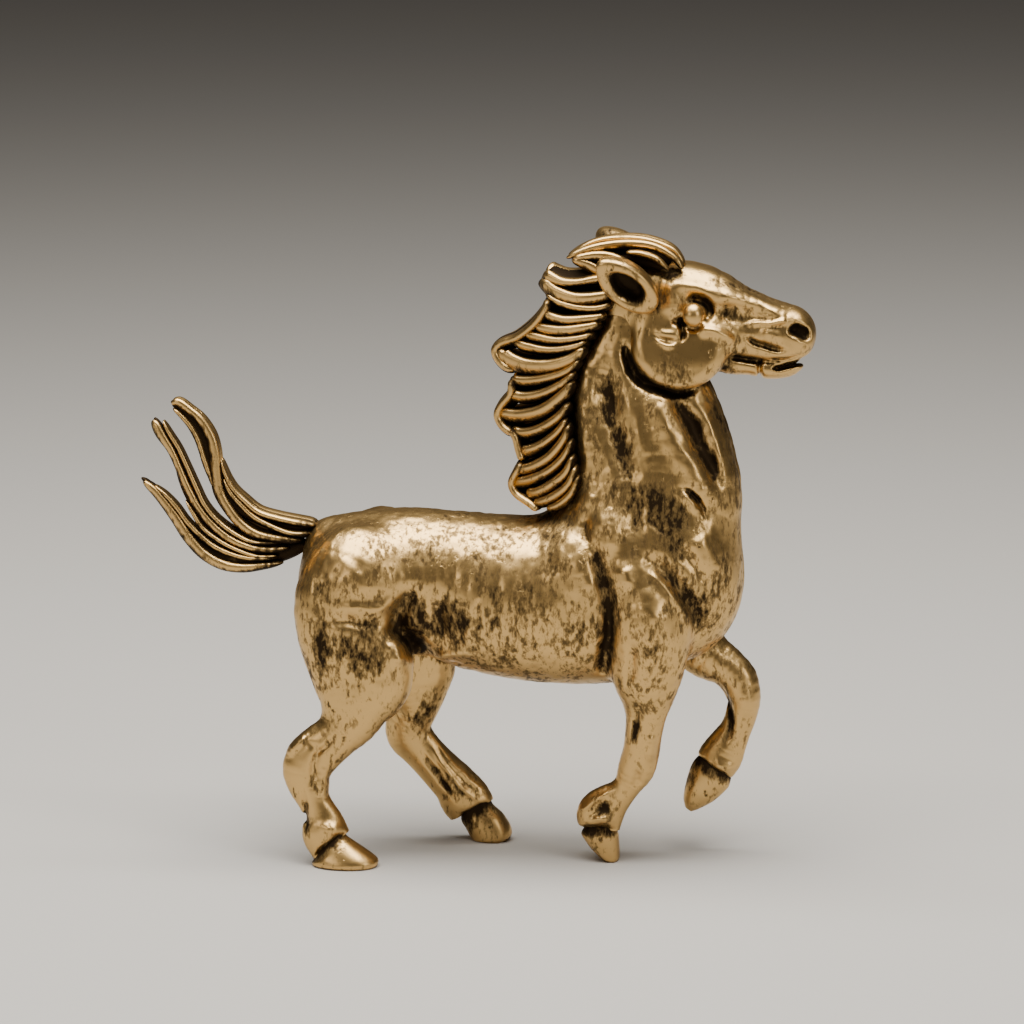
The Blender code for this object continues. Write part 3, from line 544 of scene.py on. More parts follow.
def sampled(field, low, high, step, coarse=4):
    """The field on a fine lattice, worked out only near the surface: blocks of coarse^3 cells
    whose corners are all further from it than their own diagonal keep the corner's sign."""
    blocks = np.ceil((np.array(high) - low) / (coarse * step)).astype(int)
    rough = in_lumps(field, node_grid(low, blocks + 1, coarse * step)).reshape(blocks + 1)
    close = np.abs(rough) < 1.3 * coarse * step
    busy = np.zeros(blocks, bool)
    for dx, dy, dz in np.ndindex(2, 2, 2):
        busy |= close[dx:dx + blocks[0], dy:dy + blocks[1], dz:dz + blocks[2]]
    fine = blocks * coarse + 1
    values = np.where(rough < 0, -1.0, 1.0).astype(np.float32)
    need = busy
    for axis in range(3):
        values = np.repeat(values, coarse, axis)
        need = np.repeat(need, coarse, axis)
    values = np.ascontiguousarray(values[:fine[0], :fine[1], :fine[2]])
    wanted = np.zeros(fine, bool)
    for dx, dy, dz in np.ndindex(2, 2, 2):
        wanted[dx:dx + fine[0] - 1, dy:dy + fine[1] - 1, dz:dz + fine[2] - 1] |= need
    where = np.argwhere(wanted)
    values[wanted] = in_lumps(field, (np.array(low) + step * where).astype(np.float32))
    return values


CORNERS = np.array(list(np.ndindex(2, 2, 2)))


def net(values, low, step):
    """Surface net: one vertex in each cell that the surface passes, at the mean of its crossings
    of the cell's edges, and one quad round each lattice edge that it crosses."""
    inside = values < 0
    cells = np.array(values.shape) - 1
    count = np.zeros(cells, np.int8)
    for dx, dy, dz in CORNERS:
        count += inside[dx:dx + cells[0], dy:dy + cells[1], dz:dz + cells[2]]
    live = np.argwhere((count > 0) & (count < 8))
    number = np.full(cells, -1, np.int32)
    number[tuple(live.T)] = np.arange(len(live))
    total = np.zeros((len(live), 3))
    hits = np.zeros(len(live))
    for axis in range(3):
        for one, two in np.ndindex(2, 2):
            start = np.insert(np.array([one, two]), axis, 0)
            a = values[tuple((live + start).T)]
            b = values[tuple((live + start + np.eye(3, dtype=int)[axis]).T)]
            cross = (a < 0) != (b < 0)
            t = np.where(cross, a / np.where(cross, a - b, 1), 0)
            place = np.repeat(start[None, :].astype(float), len(live), 0)
            place[:, axis] = t
            total += np.where(cross[:, None], place, 0)
            hits += cross
    points = low + step * (live + total / hits[:, None])
    quads = []
    for axis in range(3):
        u, v = (axis + 1) % 3, (axis + 2) % 3
        head = [slice(None)] * 3
        tail = [slice(None)] * 3
        head[axis], tail[axis] = slice(0, -1), slice(1, None)
        change = inside[tuple(head)].astype(np.int8) - inside[tuple(tail)]
        edge = np.argwhere(change != 0)
        inner = (edge[:, u] > 0) & (edge[:, v] > 0) & (edge[:, u] < cells[u]) & (edge[:, v] < cells[v])
        edge = edge[inner]
        way = change[tuple(edge.T)]
        ring = []
        for du, dv in ((1, 1), (0, 1), (0, 0), (1, 0)):
            cell = edge.copy()
            cell[:, u] -= du
            cell[:, v] -= dv
            ring.append(number[tuple(cell.T)])
        ring = np.stack(ring, 1)
        ring[way < 0] = ring[way < 0][:, ::-1]
        quads.append(ring)
    return points, np.vstack(quads)


TETRA = np.array([(1, -1, -1), (-1, -1, 1), (-1, 1, -1), (1, 1, 1)], np.float32)


def slope(field, points, reach):
    """Value and gradient from four places round each point: the mean, and sum(k F(p + h k))/4h
    over the corners k of a tetrahedron."""
    around = [in_lumps(field, points + reach * corner) for corner in TETRA]
    gradient = sum(value[:, None] * corner for value, corner in zip(around, TETRA)) / (4 * reach)
    return sum(around) / 4, gradient


def settled(field, points, step):
    """Moves the net's vertices onto the surface by one step of Newton's rule, p - F g/|g|^2, and
    returns them with the surface's directions there."""
    value, g = slope(field, points, 0.2 * step)
    size = np.maximum((g * g).sum(1), 0.05)
    points = points - np.clip(value / size, -step, step)[:, None] * g
    g = slope(field, points, 0.3 * step)[1]
    return points, g / np.maximum(np.linalg.norm(g, axis=1, keepdims=True), 1e-6)


def triangles(quads):
    return np.vstack([quads[:, [0, 1, 2]], quads[:, [0, 2, 3]]])


def cut(shape, g):
    """Keeps the part of a triangle mesh where g < 0, splitting the triangles that g = 0 crosses.
    Returns the shape and the directed rim edges that the cut leaves open."""
    points, normals, faces = shape
    neg = g < 0
    count = neg[faces].sum(1)
    whole_ones = faces[count == 3]
    mixed = faces[(count == 1) | (count == 2)]
    odd = np.where(neg[mixed].sum(1) == 1, neg[mixed].argmax(1), (~neg[mixed]).argmax(1))
    turned = np.take_along_axis(mixed, (odd[:, None] + np.arange(3)) % 3, 1)
    one = neg[turned[:, 0]]
    pairs = np.sort(np.vstack([turned[:, [0, 1]], turned[:, [0, 2]]]), axis=1)
    unique, index = np.unique(pairs, axis=0, return_inverse=True)
    index = index.reshape(-1)
    t = (g[unique[:, 0]] / (g[unique[:, 0]] - g[unique[:, 1]]))[:, None]
    new_points = points[unique[:, 0]] * (1 - t) + points[unique[:, 1]] * t
    new_normals = normals[unique[:, 0]] * (1 - t) + normals[unique[:, 1]] * t
    new_normals[:, :3] /= np.linalg.norm(new_normals[:, :3], axis=1, keepdims=True)
    first = index[:len(mixed)] + len(points)
    second = index[len(mixed):] + len(points)
    small = np.stack([turned[one, 0], first[one], second[one]], 1)
    two = ~one
    big_a = np.stack([first[two], turned[two, 1], turned[two, 2]], 1)
    big_b = np.stack([first[two], turned[two, 2], second[two]], 1)
    rim = np.vstack([np.stack([first[one], second[one]], 1), np.stack([second[two], first[two]], 1)])
    faces = np.vstack([whole_ones, small, big_a, big_b])
    shape = (np.vstack([points, new_points]), np.vstack([normals, new_normals]), faces)
    return shape, rim


DOUBLINGS = 14          # 2^14 edges is longer than any rim
SHORTEST_RIM = 8        # a loop of fewer edges is a speck


def rims_joined(rim, count):
    """Labels each rim edge with its loop, by letting every vertex look twice as far along it."""
    ahead = np.arange(count)
    ahead[rim[:, 0]] = rim[:, 1]
    label = np.arange(count)
    for _ in range(DOUBLINGS):
        label = np.minimum(label, label[ahead])
        ahead = ahead[ahead]
    return label[rim[:, 0]]


def section(shape, regions):
    """A closed section of a skin: cut by each region in turn, each open rim closed by a fan to the
    rim's middle. Skin corners keep the field's own direction, so neighbouring sections meet
    without a visible joint; the fans are flat, and darkened towards their middle as painted shade
    in the joint."""
    points, normals, faces = shape
    fans = []
    for region in regions:
        (points, normals, faces), rim = cut((points, normals, faces), region(points))
        if len(rim):
            loop = rims_joined(rim, len(points))
            each_rim = [rim[loop == name] for name in np.unique(loop)]
            fans += [edges for edges in each_rim if len(edges) > SHORTEST_RIM]
    corner = normals[faces][:, :, :3]
    for rim in fans:
        centre = points[np.unique(rim)].mean(0)
        fan = np.stack([rim[:, 1], rim[:, 0], np.full(len(rim), len(points))], 1)
        points = np.vstack([points, centre])
        # the fan's middle is darkened to 0.9: painted shade on the cut face inside the joint
        normals = np.vstack([normals, [[0, 0, 1, 0.9]]])
        a, b, c = (points[fan[:, k]] for k in range(3))
        flat = np.cross(b - a, c - a).sum(0)
        flat /= max(np.linalg.norm(flat), 1e-9)
        faces = np.vstack([faces, fan])
        corner = np.vstack([corner, np.broadcast_to(flat, (len(fan), 3, 3))])
    used, index = np.unique(faces, return_inverse=True)
    return points[used], index.reshape(-1, 3), corner, normals[used, 3]


def hollows(points, normals, faces, reach, edge):
    """How hollow the skin is about each vertex, over a given reach: its move along the normal
    after 2 (reach/edge)^2 rounds of putting every vertex at the mean of its neighbours."""
    ends = np.vstack([faces[:, [0, 1]], faces[:, [1, 2]], faces[:, [2, 0]]])
    share = 1 / np.maximum(np.bincount(ends[:, 0], minlength=len(points)), 1)
    eased = points.copy()
    for _ in range(max(1, round(2 * (reach / edge) ** 2))):
        for axis in range(3):
            eased[:, axis] = np.bincount(ends[:, 0], eased[ends[:, 1], axis], len(points)) * share
    return ((eased - points) * normals).sum(1)


# The darkening, patina with painted shade, starts from its value on the legs, with more on the body
# and less on the head. Hollows add to it as patina with painted shade, each by its reach and weight,
# and overhangs add painted shade, looked for one SHADOW out.
LEG_RECESS, BODY_MORE, HEAD_LESS, MOST_RECESS = 0.21, 0.09, 0.08, 0.85
HOLLOWS = [(0.3, 0.9), (0.7, 0.42)]
SHADOW, OPEN_SHADOW, SHADOW_WEIGHT = 1.2, 0.25, 0.7


def skin(field, low, high, step, stains_shade_and_reflection):
    """Points, normals with the darkening (patina with painted shade) as a fourth column, and faces.
    The darkening is 0.2 to 0.3 on the open metal, less on crests, and up to MOST_RECESS in creases,
    under overhangs as painted shade, and under the dark strokes of stains, shade and reflection."""
    values = sampled(field, low, high, step)
    points, quads = net(values, np.array(low), step)
    points, normals = settled(field, points, step)
    faces = triangles(quads)
    height = points[:, 2]
    patina_and_shade = LEG_RECESS + BODY_MORE * smoothstep(height, 9, 16)
    patina_and_shade -= HEAD_LESS * smoothstep(height, 38, 41)
    for reach, weight in HOLLOWS:
        patina_and_shade += weight * hollows(points, normals, faces, reach, step)
    # painted shade under overhangs: darker where another surface lies within one SHADOW outwards
    under = 1 - in_lumps(whole, points + SHADOW * normals) / SHADOW
    patina_and_shade += SHADOW_WEIGHT * np.clip(under - OPEN_SHADOW, 0, 1)
    # dark strokes: stains with painted shade and a painted dark reflection
    patina_and_shade += in_lumps(lambda p: worked(p, stains_shade_and_reflection), points)
    return points, np.column_stack([normals, np.clip(patina_and_shade, 0, MOST_RECESS)]), faces


def piece(node, points, faces, patina_and_shade, corner=None):
    """A bronze mesh object in metres that stands for its node and rides on the one body."""
    name = f"{node}_cast"
    mesh = bpy.data.meshes.new(name)
    sides = faces.shape[1]
    mesh.vertices.add(len(points))
    mesh.vertices.foreach_set("co", (np.asarray(points) * unit).astype(np.float32).ravel())
    mesh.loops.add(faces.size)
    mesh.loops.foreach_set("vertex_index", faces.astype(np.int32).ravel())
    mesh.polygons.add(len(faces))
    mesh.polygons.foreach_set("loop_start", np.arange(0, faces.size, sides, dtype=np.int32))
    mesh.update(calc_edges=True)
    mesh.polygons.foreach_set("use_smooth", np.ones(len(faces), bool))
    # the darkening attribute: patina with painted shade
    layer = mesh.attributes.new("patina_and_shade", "FLOAT", "POINT")
    layer.data.foreach_set("value", np.asarray(patina_and_shade, np.float32))
    if corner is not None:
        mesh.normals_split_custom_set(corner.reshape(-1, 3).astype(np.float32))
    made = bpy.data.objects.new(name, mesh)
    bpy.context.scene.collection.objects.link(made)
    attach(made, "root")
    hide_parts(node)
    mesh.materials.append(BRONZE)


# Flesh sections

# For each skin: the room it is looked for in, low and high corner, and the lattice's step.
TORSO_ROOM = (-15.0, -7.2, 13.0), (22.4, 7.2, 29.6), 0.15
NECK_ROOM = (4.5, -6.5, 22.5), (22.4, 6.5, 46.4), 0.13
HEAD_ROOM = (8.4, -4.6, 36.4), (27.4, 4.6, 48.4), 0.1
LEG_STEP, LEG_SPARE = 0.12, 1.2


def beyond_neck_cut(p):
    """Above 0, the neck's side of its joint with the torso."""
    return (p[:, 0] - 13.0) * 0.26 + (p[:, 2] - 26.6) * 0.965


def limb_region(name):
    """Below 0, where a limb's own field is nearer than the barrel's."""
    def region(p):
        barrel = np.minimum(chain(p, BARREL), chain(p, DOCK))
        return chain(p, LEGS[name]) - barrel
    return region


def make_torso():
    shape = skin(flesh, *TORSO_ROOM, BODY_STAINS_SHADE_AND_REFLECTION)
    regions = [beyond_neck_cut]
    for name in LEGS:
        inside = limb_region(name)
        regions.append(lambda p, inside=inside: -inside(p))
    points, faces, corner, patina_and_shade = section(shape, regions)
    piece("torso", points, faces, patina_and_shade, corner)


def make_neck():
    shape = skin(flesh, *NECK_ROOM, BODY_STAINS_SHADE_AND_REFLECTION)
    points, faces, corner, patina_and_shade = section(shape, [lambda p: -beyond_neck_cut(p)])
    piece("neck", points, faces, patina_and_shade, corner)


def make_leg(name):
    spread = LEGS[name][:, [3, 4, 3]] + LEG_SPARE
    low, high = (LEGS[name][:, :3] - spread).min(0), (LEGS[name][:, :3] + spread).max(0)
    shape = skin(flesh, low, high, LEG_STEP, BODY_STAINS_SHADE_AND_REFLECTION)
    rear_x, rear_z, front_x, front_z, _ = CORONETS[name]

    def past_the_leg(p):
        return (p[:, 0] - rear_x) * (front_z - rear_z) - (p[:, 2] - rear_z) * (front_x - rear_x)

    points, faces, corner, patina_and_shade = section(shape, [limb_region(name), past_the_leg])
    piece(name, points, faces, patina_and_shade, corner)


def make_head():
    points, normals, faces = skin(face, *HEAD_ROOM, HEAD_STAINS_AND_SHADE)
    piece("head", points, faces, normals[:, 3], normals[faces][:, :, :3])


# Sections made as surfaces of two parameters


def closed_rings(rings):
    """Faces of a stack of rings, each row of the array one ring, with a point at both ends."""
    rows, sides = rings.shape[:2]
    index = np.arange(rows * sides).reshape(rows, sides)
    right = np.roll(index, -1, 1)
    wall = np.stack([index[:-1], right[:-1], right[1:], index[1:]], -1).reshape(-1, 4)
    ends = np.array([rings[0].mean(0), rings[-1].mean(0)])
    points = np.vstack([rings.reshape(-1, 3), ends])
    first, last = rows * sides, rows * sides + 1
    start = np.stack([right[0], index[0], np.full(sides, first)], -1)
    stop = np.stack([index[-1], right[-1], np.full(sides, last)], -1)
    faces = np.vstack([wall[:, [0, 1, 2]], wall[:, [0, 2, 3]], start, stop])
    return points, faces


def outward(points, faces):
    a, b, c = (points[faces[:, k]] for k in range(3))
    volume = np.einsum("ij,ij->i", a, np.cross(b, c)).sum()
    return faces if volume > 0 else faces[:, ::-1]


def strand(path, steps=4, sides=14, lean=0.0):
    """A lock's strand: an oval carried along a curve. Each row of the path is
    (x, y, z, half height, half thickness); the oval's height lies in the curve's own upright
    plane and its thickness along Y. Both ends are drawn in to a point by sqrt(1 - s^2). The lean
    moves the upper half outwards and tucks the lower half in, so each strand has a bright upper
    edge and a face that looks down; the darkening grows from the upper edge to the lower one as
    painted shade on the face that looks down, and is painted shade too over the start of the path."""
    rows = smooth_rows(path, steps)
    middle = rows[:, :3]
    ahead = np.gradient(middle, axis=0)
    ahead[:, 1] *= 0.3
    ahead /= np.linalg.norm(ahead, axis=1, keepdims=True)
    up = np.cross([0.0, 1.0, 0.0], ahead)
    up /= np.linalg.norm(up, axis=1, keepdims=True)
    s = np.linspace(0, 1, len(rows))
    close = np.sqrt(np.clip(1 - np.clip((s - 0.88) / 0.125, 0, 1) ** 2, 0, 1))
    close *= np.sqrt(np.clip(1 - np.clip((0.07 - s) / 0.075, 0, 1) ** 2, 0, 1))
    turn = np.linspace(0, math.tau, sides, endpoint=False)[None, :]
    tall = (rows[:, 3] * close)[:, None] * np.cos(turn)
    broad = (rows[:, 4] * close)[:, None] * np.sin(turn) - lean * tall
    ring = middle[:, None, :] + tall[:, :, None] * up[:, None, :]
    ring[:, :, 1] += broad
    points, faces = closed_rings(ring)
    # painted shade: darker towards the face that looks down and over the start of the path
    low = np.clip(-np.cos(turn) * 0.75 + 0.15, 0, 1) + 0 * s[:, None]
    low = low + 0.45 * smoothstep(0.22 - s, 0, 0.22)[:, None]
    return points, outward(points, faces), np.clip(np.append(low.ravel(), [0.6, 0.1]), 0, 1)


def bundle(strands):
    """Several closed shells joined into one mesh."""
    base = np.cumsum([0] + [len(points) for points, _, _ in strands])
    points = np.vstack([points for points, _, _ in strands])
    faces = np.vstack([faces + start for (_, faces, _), start in zip(strands, base)])
    return points, faces, np.concatenate([patina_and_shade for _, _, patina_and_shade in strands])


def flipped(one):
    points, faces, patina_and_shade = one
    return points * np.array([1.0, -1.0, 1.0]), faces[:, ::-1], patina_and_shade


def off_board(u, v, y):
    """The place at sideways distance y that a board reading (u, v) stands for."""
    return u - LEAN_X * y, v - LEAN_Z * y


# Each strand: rows of (u, v, half height), read 2 units off the board, from root to tip.
MANE = {
    "mane_lock_1": [
        [(10.4, 45.9, 0.3), (9.3, 45.75, 0.28), (8.2, 45.55, 0.24), (7.0, 45.5, 0.3),
         (6.1, 45.8, 0.38), (5.5, 46.15, 0.42)],
        [(10.9, 44.7, 0.34), (9.6, 44.35, 0.4), (8.0, 44.2, 0.44), (6.6, 44.6, 0.46),
         (5.8, 45.2, 0.42), (5.45, 45.8, 0.4)],
        [(10.8, 43.9, 0.22), (9.5, 43.55, 0.24), (8.0, 43.6, 0.24), (6.6, 44.0, 0.22),
         (5.7, 44.6, 0.18)],
    ],
    "mane_lock_2": [
        [(6.0, 44.2, 0.28), (5.7, 43.4, 0.28), (4.8, 42.2, 0.28), (3.5, 41.2, 0.28),
         (2.4, 40.8, 0.28), (1.9, 40.2, 0.28), (2.4, 39.3, 0.28), (3.3, 38.7, 0.28)],
        [(10.3, 43.0, 0.26), (9.0, 42.75, 0.3), (7.2, 42.6, 0.3), (6.0, 42.9, 0.3), (5.5, 43.4, 0.26)],
        [(9.9, 42.4, 0.26), (8.6, 42.0, 0.34), (7.0, 41.75, 0.36), (5.6, 41.9, 0.34), (4.8, 42.2, 0.3)],
        [(9.4, 41.6, 0.2), (8.0, 41.2, 0.24), (6.4, 41.05, 0.26), (4.9, 41.3, 0.3), (4.0, 41.6, 0.26)],
        [(8.9, 41.0, 0.2), (7.6, 40.5, 0.24), (6.0, 40.3, 0.24), (4.4, 40.5, 0.3), (3.2, 40.9, 0.3)],
        [(8.8, 40.6, 0.28), (7.8, 39.6, 0.4), (6.2, 39.0, 0.46), (4.4, 38.95, 0.5),
         (3.0, 39.4, 0.55), (2.3, 40.0, 0.55), (2.3, 40.5, 0.4)],
        [(8.4, 39.6, 0.2), (7.2, 38.6, 0.26), (5.4, 38.0, 0.3), (4.0, 37.85, 0.32), (3.1, 38.0, 0.3)],
    ],
    "mane_lock_3": [
        [(3.2, 38.0, 0.28), (3.1, 36.9, 0.28), (2.4, 36.0, 0.28), (2.1, 35.2, 0.28),
         (2.5, 34.4, 0.28), (3.3, 33.8, 0.28)],
        [(8.0, 38.6, 0.22), (7.0, 37.7, 0.28), (5.6, 36.95, 0.3), (4.2, 36.6, 0.34),
         (3.3, 36.75, 0.36), (3.1, 37.0, 0.3)],
        [(7.9, 37.9, 0.28), (7.0, 36.7, 0.38), (5.6, 35.6, 0.42), (4.0, 35.15, 0.42),
         (2.8, 35.2, 0.42), (2.15, 35.4, 0.4)],
        [(7.6, 36.2, 0.24), (6.6, 35.0, 0.3), (5.2, 34.1, 0.32), (4.0, 33.8, 0.34), (3.1, 34.1, 0.3)],
    ],
    "mane_lock_4": [
        [(3.1, 34.2, 0.28), (3.5, 33.5, 0.28), (3.7, 32.7, 0.28), (4.0, 31.7, 0.28)],
        [(4.0, 31.5, 0.28), (3.4, 30.5, 0.28), (3.2, 29.8, 0.28), (3.6, 29.1, 0.28),
         (4.6, 28.4, 0.28), (5.2, 27.9, 0.28)],
        [(7.4, 35.0, 0.22), (6.6, 33.9, 0.26), (5.4, 32.9, 0.3), (4.3, 32.4, 0.36), (3.8, 32.5, 0.36)],
        [(7.6, 34.6, 0.24), (7.1, 33.3, 0.3), (6.1, 32.0, 0.34), (4.9, 31.2, 0.36),
         (3.9, 30.9, 0.36), (3.5, 30.9, 0.3)],
        [(7.8, 33.4, 0.22), (7.1, 32.0, 0.26), (6.0, 30.9, 0.3), (4.7, 30.2, 0.34),
         (3.7, 29.95, 0.36), (3.3, 30.05, 0.3)],
        [(7.9, 32.2, 0.24), (7.3, 30.8, 0.3), (6.2, 29.8, 0.34), (5.1, 29.15, 0.36), (4.2, 29.1, 0.34)],
        [(8.1, 31.4, 0.22), (7.5, 29.9, 0.28), (6.4, 28.9, 0.32), (5.4, 28.45, 0.3), (4.8, 28.4, 0.24)],
        [(8.3, 30.6, 0.2), (7.7, 29.2, 0.26), (6.8, 28.3, 0.28), (5.8, 27.9, 0.22)],
    ],
}


def mane_depth(u, v):
    """Sideways distance of the mane's face: full at the root, closing towards the tips."""
    root = 3.3 - 0.04 * (v - 30.0)
    return 0.4 + (root - 0.4) * smoothstep(u, 1.2, 8.6) ** 0.75


def make_mane():
    """Each lock's strands lie on both faces of the mane, and each hides a core between them, painted
    fully dark as the shade in the gaps between the strands.
    """
    for name, lines in MANE.items():
        shells = []
        for line in lines:
            rows = smooth_rows(line, 3)
            u, v = rows[:, 0] - 2 * LEAN_X, rows[:, 1] - 2 * LEAN_Z
            y = -mane_depth(u, v)
            x, z = off_board(u, v, y)
            s = np.linspace(0, 1, len(rows))
            core_path = np.column_stack([x, y + 0.4, z, 1.42 * rows[:, 2], 0.85 - 0.3 * s])
            lock = strand(core_path, 4, 16, 0.5)
            shells += [lock, flipped(lock)]
            inner = np.maximum(-y - 0.45, 0.15)
            core = strand(np.column_stack([x + 0.2, 0 * s, z - 0.1, 0.62 + 0 * s, inner]), 3, 16)
            # painted shade: the core fully dark, filling the gaps between strands
            shells.append((core[0], core[1], np.full(len(core[0]), 1.0)))
        points, faces, patina_and_shade = bundle(shells)
        piece(name, points, faces, patina_and_shade)


# Each prong: the two edges of its core, then its strands as (x, z, half height) from root to tip.
TAIL = {
    "tail_lock_upper": (
        [
            (-12.6, 26.1, -12.6, 25.3), (-14.4, 26.35, -14.4, 25.3), (-16.4, 26.8, -16.0, 25.5),
            (-18.2, 28.1, -19.3, 26.9), (-19.4, 30.6, -21.2, 29.8), (-20.1, 32.8, -22.0, 32.4),
            (-21.2, 34.4, -22.9, 34.1), (-22.5, 35.4, -23.7, 35.0), (-23.2, 35.6, -23.8, 35.2),
        ], [
            [(-12.2, 26.0, 0.30), (-13.9, 26.3, 0.28), (-15.4, 26.6, 0.27), (-16.7, 27.0, 0.27),
             (-17.7, 27.8, 0.26), (-18.6, 28.7, 0.24), (-19.2, 29.8, 0.20), (-19.6, 31.0, 0.16)],
            [(-12.5, 25.4, 0.26), (-14.1, 25.4, 0.26), (-15.6, 25.9, 0.26), (-17.0, 26.6, 0.26),
             (-18.0, 27.5, 0.25), (-18.8, 28.4, 0.22), (-19.4, 29.5, 0.16)],
            [(-13.3, 24.8, 0.30), (-15.1, 24.9, 0.36), (-16.8, 25.2, 0.40), (-18.1, 26.0, 0.42),
             (-19.1, 27.2, 0.44), (-19.8, 28.5, 0.46), (-20.0, 30.0, 0.46), (-20.1, 31.5, 0.46),
             (-20.4, 32.8, 0.42), (-21.1, 34.0, 0.36), (-22.0, 34.8, 0.33), (-22.9, 35.4, 0.34),
             (-23.4, 35.2, 0.30)],
            [(-20.2, 28.8, 0.12), (-20.6, 30.1, 0.22), (-21.0, 31.3, 0.24), (-21.4, 32.5, 0.25),
             (-22.0, 33.6, 0.24), (-22.8, 34.5, 0.20), (-23.3, 34.9, 0.16)],
        ]),
    "tail_lock_middle": (
        [
            (-12.6, 25.7, -12.6, 24.9), (-14.6, 25.5, -14.6, 24.5), (-17.4, 25.6, -17.4, 24.2),
            (-19.9, 26.5, -20.6, 24.9), (-21.4, 29.0, -22.9, 28.0), (-22.4, 31.0, -23.8, 31.2),
            (-23.7, 33.3, -24.8, 33.0), (-24.4, 34.4, -25.2, 33.8),
        ], [
            [(-14.3, 24.2, 0.24), (-15.9, 24.0, 0.30), (-17.5, 24.2, 0.33), (-19.0, 24.8, 0.35),
             (-20.3, 25.8, 0.35), (-21.4, 27.1, 0.34), (-22.2, 28.6, 0.33), (-22.8, 30.0, 0.31),
             (-23.5, 31.6, 0.32), (-24.3, 32.8, 0.40), (-24.9, 33.9, 0.50)],
            [(-14.9, 24.6, 0.14), (-17.0, 24.6, 0.20), (-18.5, 25.2, 0.23), (-19.9, 26.2, 0.24),
             (-20.9, 27.4, 0.24), (-21.6, 28.9, 0.24), (-22.3, 30.5, 0.23), (-22.9, 31.8, 0.22),
             (-23.7, 33.1, 0.20), (-24.1, 33.9, 0.16)],
            [(-15.1, 23.6, 0.14), (-16.8, 23.5, 0.20), (-18.5, 24.0, 0.22), (-19.9, 24.7, 0.22),
             (-21.1, 25.6, 0.22), (-21.8, 26.7, 0.20), (-22.4, 27.7, 0.12)],
        ]),
    "tail_lock_lower": (
        [
            (-12.6, 25.1, -12.7, 24.2), (-14.6, 24.6, -14.8, 22.9), (-17.6, 24.1, -17.8, 22.1),
            (-20.4, 24.5, -21.0, 22.7), (-22.4, 26.1, -23.6, 25.6), (-23.6, 28.0, -24.7, 27.5),
            (-25.0, 29.2, -25.7, 28.7), (-25.7, 29.6, -26.1, 29.1),
        ], [
            [(-14.8, 23.0, 0.20), (-16.5, 22.7, 0.34), (-18.0, 22.5, 0.40), (-19.6, 22.7, 0.44),
             (-21.1, 23.5, 0.44), (-22.3, 24.8, 0.44), (-23.2, 26.2, 0.42), (-24.0, 27.3, 0.38),
             (-24.9, 28.4, 0.34), (-25.7, 29.1, 0.34)],
            [(-15.2, 23.4, 0.16), (-17.0, 23.3, 0.22), (-18.5, 23.5, 0.24), (-20.1, 24.1, 0.25),
             (-21.3, 25.0, 0.25), (-22.3, 26.0, 0.24), (-23.1, 27.1, 0.24), (-23.9, 28.0, 0.20),
             (-24.8, 28.8, 0.14)],
        ]),
}


def make_tail():
    """Each prong's strands lie on both faces of a core that follows the prong's two edges, painted
    nearly fully dark as the shade in the gaps between the strands.
    """
    for name, (edges, lines) in TAIL.items():
        shells = []
        for line in lines:
            rows = smooth_rows(line, 3)
            out = smoothstep(rows[:, 0], -25.5, -12.5)
            lock = strand(np.column_stack([rows[:, 0], -0.15 - 0.42 * out, rows[:, 1],
                                           1.08 * rows[:, 2], 0.42 + 0.3 * out]), 3, 16, 0.25)
            shells += [lock, flipped(lock)]
        rows = smooth_rows(edges, 3)
        s = np.linspace(0, 1, len(rows))
        half = np.hypot(rows[:, 0] - rows[:, 2], rows[:, 1] - rows[:, 3]) / 2
        middle = (rows[:, :2] + rows[:, 2:]) / 2
        core = strand(np.column_stack([middle[:, 0], 0 * s, middle[:, 1], (0.85 - 0.35 * s) * half,
                                       0.72 * (1 - 0.65 * s)]), 3, 16)
        # painted shade: the core nearly fully dark
        shells.append((core[0], core[1], np.full(len(core[0]), 0.95)))
        points, faces, patina_and_shade = bundle(shells)
        piece(name, points, faces, patina_and_shade)


# Each strand: its distance from the midline, half height, and line from brow to poll.
FORELOCK = [
    (-2.6, 0.3, [(14.8, 46.2), (13.9, 47.0), (12.7, 47.4), (11.6, 47.5)]),
    (-2.0, 0.4, [(15.9, 46.3), (15.2, 47.2), (13.6, 48.0), (11.6, 48.15), (9.6, 47.9), (8.2, 47.5),
     (7.1, 47.0)]),
    (-0.9, 0.34, [(16.1, 46.7), (15.2, 47.8), (13.2, 48.5), (11.0, 48.6), (9.2, 48.3), (7.6, 47.5)]),
    (0.3, 0.38, [(16.1, 46.9), (15.1, 48.05), (13.0, 48.7), (10.6, 48.65), (8.9, 48.2), (7.3, 47.4)]),
    (1.7, 0.42, [(15.8, 46.9), (14.6, 47.9), (12.6, 48.5), (10.4, 48.4), (8.6, 48.0), (7.4, 47.4)]),
    (-2.3, 0.42, [(12.0, 46.6), (10.6, 47.1), (9.2, 47.2), (7.6, 47.0)]),
    (-2.2, 0.5, [(10.8, 45.3), (9.7, 45.9), (8.6, 46.5), (7.5, 46.9)]),
]


